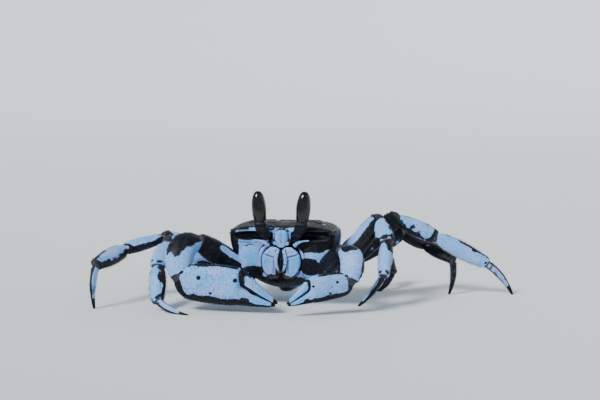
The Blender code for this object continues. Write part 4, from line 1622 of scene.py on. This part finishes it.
def cornea_grid(side):
    """The long oval of the cornea."""
    foot, tip = cornea_ends(side)
    turns = np.radians(np.linspace(2.0, 178.0, CORNEA_RINGS))
    path = foot + np.outer(0.5 - 0.5 * np.cos(turns), tip - foot)
    radius = CORNEA_HALF_WIDTH * np.sin(turns) ** CORNEA_ROUNDNESS
    return tube_grid(path, radius, radius, FRONT, CORNEA_SIDES, 2.0)


def stalk_strip(side):
    """The strip of stalk that runs up the inner rear side of the cornea."""
    foot, tip = cornea_ends(side)
    upward = unit(tip - foot)
    inward = unit(np.cross(upward, np.cross((-side * 0.75, 0.66, 0), upward)))
    shares = np.linspace(*STRIP_SPAN, 14)
    radius = CORNEA_HALF_WIDTH * np.sin(np.arccos(1 - 2 * shares)) ** CORNEA_ROUNDNESS
    path = foot + np.outer(shares, tip - foot) + inward * (radius - 0.25)[:, None]
    width = 1.5 * (1 - shares / 0.64) ** 0.55
    return tapered(path, np.full(len(shares), 0.42), np.maximum(width, 0.15), inward, 28)


def make_eye(label, side):
    """Stalk with its strip, and the cornea."""
    path = on_side(side, EYE_STALK_PATH)
    stalk = tapered(path, EYE_STALK_HEIGHTS, EYE_STALK_WIDTHS, FRONT, 56, 0.25)
    height = stalk.points[..., 2]
    collar = 0.22 * hump(height, 38.6, 0.35) - 0.15 * hump(height, 37.7, 0.4)
    push(stalk, collar + 0.08 * on_grid(stalk, grains, 0.7) - 0.18 * hump(height, 34.2, 0.35))
    strip = stalk_strip(side)
    push(strip, 0.05 * on_grid(strip, grains, 0.5))
    for grid in (stalk, strip):
        grid.mark = 1.1 + 0.6 * on_grid(grid, blotches, 4.0)
    joined_piece("eyestalk_%s_shell" % label, ["eyestalk_" + label], [stalk, strip], LIMB_SHELL)
    ball_grid = cornea_grid(side)
    mesh = new_mesh("cornea_" + label, with_poles(ball_grid.points), grid_faces(*ball_grid.turn.shape))
    mesh.materials.append(CORNEA)
    place_piece(mesh, "cornea_" + label, ["eye_" + label])


for label, side in SIDES.items():
    make_eye(label, side)
print("eyes made")

# %% Antennae
ANTENNA_PATH = ((6.2, -20.9, 28.4), (7.6, -21.5, 29.6), (10.2, -21.9, 30.6), (13.0, -22.0, 31.0))
ANTENNA_HEIGHTS = (1.0, 0.9, 0.42, 0.26)
ANTENNA_WIDTHS = (0.9, 0.8, 0.42, 0.26)
RING_PITCH = 0.55


def antenna(label, side):
    """A stout jointed root and a short ringed whip."""
    grid = tapered(on_side(side, ANTENNA_PATH), ANTENNA_HEIGHTS, ANTENNA_WIDTHS, FRONT, 24, 0.1)
    rings = np.clip(np.sin(2 * np.pi * grid.distance / RING_PITCH), 0, 1)
    rings = rings * rise(grid.share, 0.35, 0.45)
    knots = hump(grid.share, 0.14, 0.02) + hump(grid.share, 0.32, 0.02)
    push(grid, 0.06 * rings - 0.16 * knots)
    grid.mark = -0.6 + 1.2 * knots + 0.5 * rings + 0.5 * on_grid(grid, blotches, 2.5)
    joined_piece("antenna_%s_shell" % label, ["antenna_" + label], [grid], LIMB_SHELL)


for label, side in SIDES.items():
    antenna(label, side)
print("antennae made")

# %% [markdown]
# ## Claws
#
# Ghost crabs have one large claw and one small one, the same in plan.  The arm comes out beside the
# mouth, the swollen carpus turns the elbow, and the palm lies across the front with its two fingers
# pointing inward.  The upper and lower edges of the palm are sawn, its outer face is strewn with
# grains, and on the inner face of the large claw a short comb of ridges makes the crab's rasping
# call.  The fingers have blunt teeth along their cutting edges.  Palm and finger are drawn along an
# X axis of their own and then turned to their place.

# %% Sizes and pose of the claws
CLAWS = {
    "right": {
        "scale": 1.0,
        "shoulder": (-15.5, -14.5, 13.0),
        "elbow": (-37.0, -25.0, 29.6),
        "wrist": (-43.6, -36.5, 15.4),
        "carpus_bow": (-4.6, 0.0, 4.0),
        "heading": -5.0,
        "pitch": -4.0,
        "outer_face": 180.0,
    },
    "left": {
        "scale": 0.66,
        "shoulder": (15.0, -14.5, 13.0),
        "elbow": (28.6, -25.5, 26.6),
        "wrist": (32.8, -36.0, 15.4),
        "carpus_bow": (3.2, 0.0, 2.4),
        "heading": 205.0,
        "pitch": -9.0,
        "outer_face": 0.0,
    },
}
ARM_SECTION = (5.4, 4.4)
WRIST_SECTION = (6.4, 5.6)
CLAW_CARPUS_SHAPE = ((0.0, 0.5), (0.18, 0.84), (0.42, 1.0), (0.7, 1.0), (0.9, 0.88), (1.0, 0.76))
CLAW_DETAIL = 0.25                      # distance between points round palm and finger
CLAW_RING_STEP = 0.31                   # travel through the stations from ring to ring
PALM_STATIONS = (       # distance from the wrist, lift, half width, half height
    (-2.6, -1.8, 2.4, 3.0),
    (-0.8, -2.0, 3.7, 5.4),
    (3.0, -2.2, 4.8, 7.6),
    (9.0, -1.9, 5.5, 8.6),
    (18.0, -1.8, 5.5, 8.9),
    (26.6, -1.7, 4.9, 8.5),
    (28.8, -5.4, 4.3, 4.7),
    (33.0, -6.7, 3.5, 3.3),
    (38.0, -7.6, 2.6, 2.2),
    (42.0, -8.2, 1.6, 1.4),
    (44.6, -8.4, 0.7, 0.7),
)
FINGER_STATIONS = (
    (25.4, 2.4, 2.4, 2.8),
    (28.4, 1.9, 3.4, 3.9),
    (32.0, 0.1, 3.2, 3.4),
    (36.5, -2.6, 2.7, 2.7),
    (41.0, -5.2, 1.9, 1.9),
    (44.4, -6.9, 1.1, 1.0),
    (45.6, -7.4, 0.5, 0.5),
)


def claw_grid(stations, scale, columns):
    """Palm or finger along its own X axis, with rings closer where the form changes fast."""
    table = np.array(stations, float)
    travel = np.concatenate([[0], np.cumsum(np.abs(np.diff(table, axis=0)).sum(axis=1))])
    wanted = np.linspace(0, travel[-1], int(travel[-1] * scale / CLAW_RING_STEP))
    distance, lift, wide, high = (monotone(travel, table[:, column], wanted) for column in range(4))
    path = np.stack([distance, np.zeros(len(wanted)), lift], axis=1) * scale
    grid = tube_grid(path, high * scale, wide * scale, (0, 0, 1), columns)
    outward = wide[:, None] * scale * signed_power(np.cos(grid.turn), 2 / SECTION_POWER)
    upward = high[:, None] * scale * signed_power(np.sin(grid.turn), 2 / SECTION_POWER)
    grid.points = path[:, None, :] + outward[..., None] * (0, 1, 0) + upward[..., None] * (0, 0, 1)
    grid.place = np.broadcast_to(distance[:, None], grid.turn.shape)
    grid.distance = grid.place * scale
    grid.share = (grid.place - distance[0]) / (distance[-1] - distance[0])
    grid.lift = grid.points[..., 2] / scale
    grid.outward = grid_normals(grid.points)
    grid.scale = scale
    return grid


def put_claw(grid, claw):
    """Turn a grid from the claw's own axes to where the palm points, at the wrist."""
    turned = np.array(Matrix.Rotation(math.radians(claw["heading"]), 3, "Z")
                      @ Matrix.Rotation(math.radians(-claw["pitch"]), 3, "Y"))
    grid.points = grid.points @ turned.T + np.array(claw["wrist"])
    grid.outward = grid.outward @ turned.T


palm_reach = FINGER_STATIONS[-1][0] - PALM_STATIONS[0][0]
print("claw lengths:", {label: round(claw["scale"] * palm_reach, 1) for label, claw in CLAWS.items()})

# %% Relief of palm and finger
PALM_RADIUS = 6.5                       # rounds off the palm's section, to unroll its face


def face_grains(grid, facing, size):
    """Grains seeded on the face itself, so that they stand equally high."""
    turn = (grid.turn - math.radians(facing) + np.pi) % (2 * np.pi) - np.pi
    unrolled = np.stack([grid.distance, turn * PALM_RADIUS * grid.scale,
                         np.full(turn.shape, size / 2)], axis=-1)
    return grains(unrolled.reshape(-1, 3), size).reshape(turn.shape)


def palm_relief(grid, claw):
    """Sawn edges, grains on the outer face, furrows on the fixed finger, and the comb."""
    scale, outer_face = grid.scale, claw["outer_face"]
    on_palm = 1 - rise(grid.place, 26.0, 29.5)
    outer = around(grid.turn, outer_face, 75)
    inner = around(grid.turn, outer_face + 180, 50)
    start = rise(grid.place, 0.0, 3.0)
    upper = around(grid.turn, 90, 11) * (0.14 + 0.30 * teeth(grid, 1.7 * scale)) * on_palm * start
    second = around(grid.turn, 90 + (30 if outer_face > 90 else -30), 8) * 0.28
    second = second * teeth(grid, 1.5 * scale) * on_palm * start
    lower = around(grid.turn, 270, 10) * (0.10 + 0.22 * teeth(grid, 1.4 * scale))
    lower = lower * start * (1 - rise(grid.place, 36, 42))
    coarse = 0.42 * face_grains(grid, outer_face, 1.5 * scale)
    coarse = coarse * (0.35 + 0.65 * outer) * (0.25 + 0.75 * on_palm) * start
    fine = 0.06 * on_grid(grid, grains, 0.6)
    furrow = -0.30 * around(grid.turn, outer_face, 9) * (1 - on_palm) * (1 - rise(grid.place, 41, 44))
    furrow = furrow - 0.22 * around(grid.turn, outer_face + 180, 9) * (1 - on_palm)
    comb = np.clip(np.sin(2 * np.pi * grid.lift / 0.85), 0, 1) * hump(grid.place, 21.0, 1.1)
    comb = 0.40 * comb * (1 - rise(np.abs(grid.lift + 1.8), 4.2, 5.2)) * inner * (scale > 0.9)
    socket = around(grid.turn, outer_face, 26) * hump(grid.place, 26.6, 1.3)
    return (upper + second + lower + coarse + furrow + comb + 0.25 * socket) * scale + fine


def finger_relief(grid):
    """Two furrows on each face, a row of pits in them, and a grained back."""
    scale = grid.scale
    body_of_it = rise(grid.place, 27.0, 30.0) * (1 - rise(grid.place, 41.5, 45))
    furrows = sum(around(grid.turn, angle, 8) for angle in (20, 160, 338, 202))
    pits = 1 + 0.5 * np.sin(2 * np.pi * grid.distance / 1.1)
    back = around(grid.turn, 90, 40) * on_grid(grid, grains, 1.1 * scale) * 0.32
    back = back * (1 - rise(grid.share, 0.3, 0.8))
    crest = around(grid.turn, 90, 10) * 0.4 * teeth(grid, 1.5 * scale)
    crest = crest * (1 - rise(grid.share, 0.25, 0.6))
    return (-0.26 * furrows * pits * body_of_it + back + crest) * scale


print("palm unrolled at a radius of", PALM_RADIUS)

# %% Teeth and marks of palm and finger
TOOTH_PITCH = 1.15


def tooth_row(grid, turn_degrees, first, last):
    """Blunt teeth along a cutting edge: a big one after every two small ones."""
    scale = grid.scale
    column = int(round(turn_degrees / 360 * grid.turn.shape[1] - 0.5)) % grid.turn.shape[1]
    edge = grid.points[:, column]
    places = grid.place[:, column]
    rows = []
    for step, place in enumerate(np.arange(first, last, TOOTH_PITCH)):
        row = int(np.argmin(np.abs(places - place)))
        size = (0.85 if step % 3 == 1 else 0.55) * scale
        size *= 1.15 - 0.5 * (place - first) / (last - first)
        up = unit(edge[row] - grid.points[row].mean(axis=0))
        up = unit(up * (0, 1, 1))
        path = [edge[row] + up * size * (-0.5 + 1.7 * share) for share in (0.0, 0.35, 0.7, 0.92, 1.0)]
        radius = size * 0.85 * np.array([1.0, 0.95, 0.68, 0.34, 0.08])
        tooth = tapered(path, radius, radius * 0.8, (1, 0, 0), 14, size * 0.22)
        tooth.mark = np.full(tooth.turn.shape, -1.4)
        rows.append(tooth)
    return rows


def claw_mark(grid, level):
    """Pale face, painted shade on its lower side, and a thin dark back."""
    sky = grid.outward[..., 2]
    spread = 0.55 * on_grid(grid, blotches, 9.0)
    # Painted shade on the faces that look down.
    shade_under = 2.3 * rise(-sky, 0.12, 0.62)
    top = 1.5 * rise(sky, 0.62, 0.97)
    return level + spread + shade_under + top


def spot(grid, place, lift, radius):
    """A round dark spot on the face of a claw."""
    away = np.hypot(grid.place - place, grid.lift - lift)
    return 3.0 * (1 - rise(away, radius * 0.7, radius * 1.3))


print("a tooth every", TOOTH_PITCH, "mm")

# %% Arm and wrist
THORN_TURNS = {1: 340, -1: 200}         # degrees round the wrist, by side
THORN_RADIUS = 1.5


def claw_arm(name, claw, side, size):
    """The merus, with three sawn edges and, on the crab's right, a pale strip that is a painted
    highlight.
    """
    arm = limb_grid(claw["shoulder"], claw["elbow"], LEG_SHAPES["merus"],
                    np.array(ARM_SECTION) * size, (0, 0, 1))
    edges = sum(around(arm.turn, angle, 9) for angle in (90, 215, 325)) * (0.1 + 0.4 * teeth(arm, 1.4))
    cover = 0.22 * on_grid(arm, grains, 1.1) + 0.05 * on_grid(arm, grains, 0.6)
    shape_limb(arm, (edges + cover) * away_from_ends(arm))
    # A painted highlight: a pale strip along the upper outer face of the right arm.
    strip = around(arm.turn, 42, 20) * rise(arm.share, 0.08, 0.3) * (1 - rise(arm.share, 0.62, 0.8))
    mark = limb_mark(arm, 0.95, 7.0) - 3.4 * strip * (side < 0)
    finish_limb(name + "arm", [name + "merus"], arm, CLAW_SHELL, mark)


def claw_wrist(name, claw, side, size):
    """The swollen carpus, with grains, two saw rows and an inner thorn."""
    wrist = limb_grid(claw["elbow"], claw["wrist"], CLAW_CARPUS_SHAPE,
                      np.array(WRIST_SECTION) * size, (side, 0, 0.3), claw["carpus_bow"])
    knobs = 0.30 * on_grid(wrist, grains, 1.35) * (0.3 + 0.7 * around(wrist.turn, CREST, 80))
    rows = sum(around(wrist.turn, angle, 8) for angle in (60, 120)) * 0.35 * teeth(wrist, 1.5)
    fine = 0.05 * on_grid(wrist, grains, 0.6)
    from_thorn = np.hypot((wrist.share - 0.66) * wrist.length / THORN_RADIUS,
                          np.sin((wrist.turn - math.radians(THORN_TURNS[side])) / 2) * 7.0)
    thorn = 1.9 * np.clip(1 - from_thorn, 0, 1) ** 1.3
    shape_limb(wrist, (knobs + rows + fine) * away_from_ends(wrist) + thorn * size)
    # Painted shade on the faces that look down, and on the left wrist's outer flank.
    sky = wrist.outward[..., 2]
    cap = 2.6 * rise(sky, 0.05, 0.75) if side < 0 else 2.2 * rise(sky, 0.45, 0.95)
    shaded_flank = 2.2 * rise(wrist.outward[..., 0], 0.72, 0.97) * (side > 0)
    mark = (-1.1 + cap * (1 - rise(wrist.share, 0.45, 0.95)) + 0.7 * on_grid(wrist, blotches, 8.0)
            + 1.4 * rise(-sky, 0.6, 0.95) + 2 * pegs(wrist) + 0.8 * hump(wrist.arc, -0.9, 1.2)
            + shaded_flank)
    finish_limb(name + "wrist", [name + "carpus"], wrist, CLAW_SHELL, mark)


print("thorns at", THORN_TURNS)

# %% Palm and finger


def claw_hand(name, claw):
    """The palm with its fixed finger, and the movable finger, each with its teeth."""
    scale = claw["scale"]
    palm = claw_grid(PALM_STATIONS, scale, 4 * int(16.0 * scale / CLAW_DETAIL))
    teeth_below = tooth_row(palm, 90, 30.5, 42.5)
    push(palm, palm_relief(palm, claw))
    put_claw(palm, claw)
    face = around(palm.turn, claw["outer_face"], 80)
    spots = spot(palm, 26.4, 1.6, 0.95) + spot(palm, 9.5, 1.2, 0.9) + spot(palm, 15.5, -5.2, 0.6)
    neck = 1.3 * hump(palm.place, -1.0, 1.4)
    heel = 2.2 * (1 - rise(palm.place, -1.0, 4.5)) * (1 - rise(palm.lift, -3.5, 1.0))
    patch = 1.7 * hump(palm.place, 31.0, 3.6) * rise(-palm.lift, 2.5, 7.5)
    palm.mark = claw_mark(palm, -1.15) + spots * face + neck + heel + patch
    palm.horn = rise(palm.place, 42.4, 43.6)
    finger = claw_grid(FINGER_STATIONS, scale, 4 * int(8.0 * scale / CLAW_DETAIL))
    teeth_above = tooth_row(finger, 270, 31.5, 43.0)
    push(finger, finger_relief(finger))
    put_claw(finger, claw)
    finger.mark = claw_mark(finger, -0.85) + 2.2 * hump(finger.place, 28.4, 1.8)
    finger.horn = rise(finger.place, 43.2, 44.4)
    for tooth in teeth_below + teeth_above:
        put_claw(tooth, claw)
    joined_piece(name + "hand", [name + "palm"], [palm] + teeth_below, CLAW_SHELL)
    joined_piece(name + "thumb", [name + "finger"], [finger] + teeth_above, CLAW_SHELL)


for label, claw in CLAWS.items():
    name, size = "claw_%s_" % label, 0.5 + 0.5 * claw["scale"]
    claw_arm(name, claw, SIDES[label], size)
    claw_wrist(name, claw, SIDES[label], size)
    claw_hand(name, claw)
print("claws made:", list(CLAWS))

# %% [markdown]
# ## The abdomen
#
# The abdomen is a tail folded flat under the breast, seven plates long.  It is narrow in front,
# broad behind, and turns up at the rear to meet the carapace.  Each plate overlaps the next a
# little, so the relief rises slowly toward each joint and drops at it.

# %% Abdomen
ABDOMEN_STATIONS = (    # y, half width, height of its middle, half thickness
    (-9.0, 1.4, 6.2, 0.7),
    (-6.0, 2.6, 5.9, 1.2),
    (4.0, 4.8, 5.9, 1.3),
    (12.0, 7.2, 7.7, 1.4),
    (17.5, 8.6, 11.0, 1.5),
    (21.0, 8.6, 14.8, 1.5),
    (23.0, 7.4, 18.6, 1.4),
    (23.4, 5.6, 20.4, 1.0),
)
ABDOMEN_JOINTS = (5.0, 10.5, 16.0, 21.5, 27.0, 32.0)     # distances along it from the front


def make_abdomen():
    """The folded tail with its seven plates."""
    path = [(0, y, z) for y, _, z, _ in ABDOMEN_STATIONS]
    thick = [station[3] for station in ABDOMEN_STATIONS]
    wide = [station[1] for station in ABDOMEN_STATIONS]
    tail = tapered(path, thick, wide, (0, 0, -1), 96, 0.3)
    relief = 0.07 * on_grid(tail, grains, 0.7)
    seams = np.zeros(tail.turn.shape)
    for joint in ABDOMEN_JOINTS:
        bent = tail.distance - joint + 0.02 * tail.points[..., 0] ** 2
        seams = seams + hump(bent, 0, 0.3)
        relief = relief - 0.38 * hump(bent, 0, 0.3) + 0.18 * hump(bent, -0.75, 0.6)
    push(tail, relief + 0.1 * around(tail.turn, 0, 14) + 0.1 * around(tail.turn, 180, 14))
    # Its front end is darkened as painted shade under the mouth.
    ends = rise(tail.points[..., 1], 14, 22) + 2.6 * (1 - rise(tail.points[..., 1], -6, 1))
    tail.mark = -1.2 + 1.3 * ends + 0.7 * on_grid(tail, blotches, 6.0) + 0.7 * seams
    joined_piece("abdomen_plates", ["abdomen"], [tail], BELLY_SHELL)
    made_limbs["abdomen"] = tail


make_abdomen()
print("abdomen made")

# %% [markdown]
# ## Bristles
#
# Short stiff bristles line the edges of the legs, hang over the mouth and make a dense brush between
# the second and third legs, where a ghost crab draws water into its gill chamber.  Hair systems
# would be quick, but they don't survive an export, so each bristle is a bent three-sided spike, and
# those of one leg are one mesh.  Its UV map puts each bristle's faces on a small patch, at the spot
# of its root on the unrolled leg, so a baked colour stays with its bristle.

# %% Scatter roots on a piece
BRISTLE_RADIUS = 0.055
LEAN = 0.8                              # how far bristles lie down along the limb
FLOOR_GAP = 0.05                        # keeps their tips above the floor
MAP_NAME = "OFBake"
PATCH = 0.003                           # width of a bristle's patch on the map
PATCH_CORNERS = ((-1, -1), (0, -1), (1, -1), (-1, 0.3), (0, 0.3), (1, 0.3), (0, 1))
SPIKE = [(2, 1, 0)]                     # its root's face; points 0-2, 3-5 in the middle, 6 the tip
for corner in range(3):
    after = (corner + 1) % 3
    SPIKE += [(corner, after, after + 3), (corner, after + 3, corner + 3), (corner + 3, after + 3, 6)]


def roots_on(skin, cell, cells, angles, spread, first, last, spacing, length):
    """Roots of bristles near some angles of a piece: place, outward, along, length and map spot."""
    rows, columns = skin.turn.shape
    count = int((last - first) * skin.length / spacing) * len(angles)
    share = random.uniform(first, last, count)
    turn = (np.repeat(angles, count // len(angles)) + random.normal(0, spread, count)) % 360
    row = np.clip(np.searchsorted(skin.share[:, 0], share), 0, rows - 1)
    column = (turn / 360 * columns).astype(int) % columns
    size = length * random.uniform(0.6, 1.15, count)
    spot_on_map = np.stack([(cell + 0.05 + 0.9 * turn / 360) / cells, 0.03 + 0.94 * share], axis=1)
    return (skin.points[row, column], skin.outward[row, column], skin.along[row], size, spot_on_map)


def add_bristles(name, root_sets, thick=BRISTLE_RADIUS):
    """A coat piece: bent spikes at all the roots, as one mesh with its map."""
    place, outward, along, size, spot_on_map = (np.concatenate(parts) for parts in zip(*root_sets))
    count = len(place)
    stray = random.normal(0, 0.16, (count, 3))
    first = unit(outward * 0.8 + along * LEAN * 0.7 + stray)
    second = unit(outward * 0.35 + along * LEAN * 1.2 + stray * 1.5)
    side = unit(np.cross(first, along + 0.01))
    other = np.cross(first, side)
    radius = (thick * (0.8 + 0.3 * size / size.max()))[:, None]
    middle = place + first * (size * 0.5)[:, None]
    tip = middle + second * (size * 0.5)[:, None]
    points = np.empty((count, 7, 3))
    for corner in range(3):
        turned = math.radians(120 * corner)
        rim = side * math.cos(turned) + other * math.sin(turned)
        points[:, corner] = place - first * 0.12 + rim * radius
        points[:, corner + 3] = middle + rim * radius * 0.72
    points[:, 6] = tip
    points[..., 2] = np.maximum(points[..., 2], FLOOR_GAP)
    faces = (np.array(SPIKE)[None] + 7 * np.arange(count)[:, None, None]).reshape(-1, 3)
    mesh = new_mesh(name, points.reshape(-1, 3), faces.tolist())
    store(mesh, "tip", np.tile([0, 0, 0, 0.5, 0.5, 0.5, 1.0], count))
    layout = np.array(PATCH_CORNERS) * PATCH / 2
    spots = (spot_on_map[:, None, :] + layout[None]).reshape(-1, 2)
    uv_map = mesh.uv_layers.new(name=MAP_NAME)
    uv_map.data.foreach_set("uv", spots[faces.ravel()].ravel())
    mesh.materials.append(BRISTLE)
    place_piece(mesh, name, [])
    return len(mesh.polygons)


print("a bristle has", len(SPIKE), "faces")

# %% Bristles of the legs
FRINGES = {             # part: angles, spread, first, last, spacing, length
    "merus": ((238, 302), 5, 0.25, 0.9, 0.75, 0.9),
    "carpus": ((70, 110, 270), 6, 0.25, 0.9, 0.65, 1.0),
    "propodus": ((80, 100, 262, 278), 6, 0.12, 0.95, 0.34, 1.35),
    "dactyl": ((30, 90, 150, 210, 270, 330), 4, 0.06, 0.62, 0.40, 0.85),
}
BRUSH = (32, 0.45, 0.95, 0.012, 2.2)    # between the second and third legs
faces_made = 0
for label, number in LEG_POSE:
    sets = []
    for cell, (part, rule) in enumerate(FRINGES.items()):
        skin = made_limbs["leg%d_%s_%s" % (number, label, part)]
        sets.append(roots_on(skin, cell, len(FRINGES) + 1, *rule))
    base = made_limbs["leg%d_%s_base" % (number, label)]
    if number in (2, 3):
        inner = 180 if (number == 2) == (label == "left") else 0
        sets.append(roots_on(base, len(FRINGES), len(FRINGES) + 1, (inner,), *BRUSH))
    faces_made += add_bristles("bristles_leg%d_%s" % (number, label), sets)
print("leg bristle faces:", faces_made)

# %% Finer bristles of the mouth and the tail
for label, side in SIDES.items():
    plate, palp = made_limbs["mouth_" + label], made_limbs["palp_" + label]
    inner = 0 if side > 0 else 180
    sets = [roots_on(plate, 0, 4, (inner,), 10, 0.05, 0.7, 0.16, 0.8),
            roots_on(plate, 1, 4, (30, 60, 90, 120, 150), 12, 0.0, 0.08, 0.035, 1.1),
            roots_on(palp, 2, 4, (0, 180), 25, 0.1, 0.95, 0.14, 0.6),
            roots_on(palp, 3, 4, (0, 90, 180, 270), 40, 0.88, 1.0, 0.03, 0.9)]
    faces_made = add_bristles("bristles_mouth_" + label, sets, 0.03)
tail_edges = [roots_on(made_limbs["abdomen"], 0, 1, (0, 180), 5, 0.04, 0.97, 0.14, 0.9)]
tail_faces = add_bristles("bristles_abdomen", tail_edges, 0.04)
print("bristle faces:", faces_made, "on each half of the mouth and", tail_faces, "on the tail")
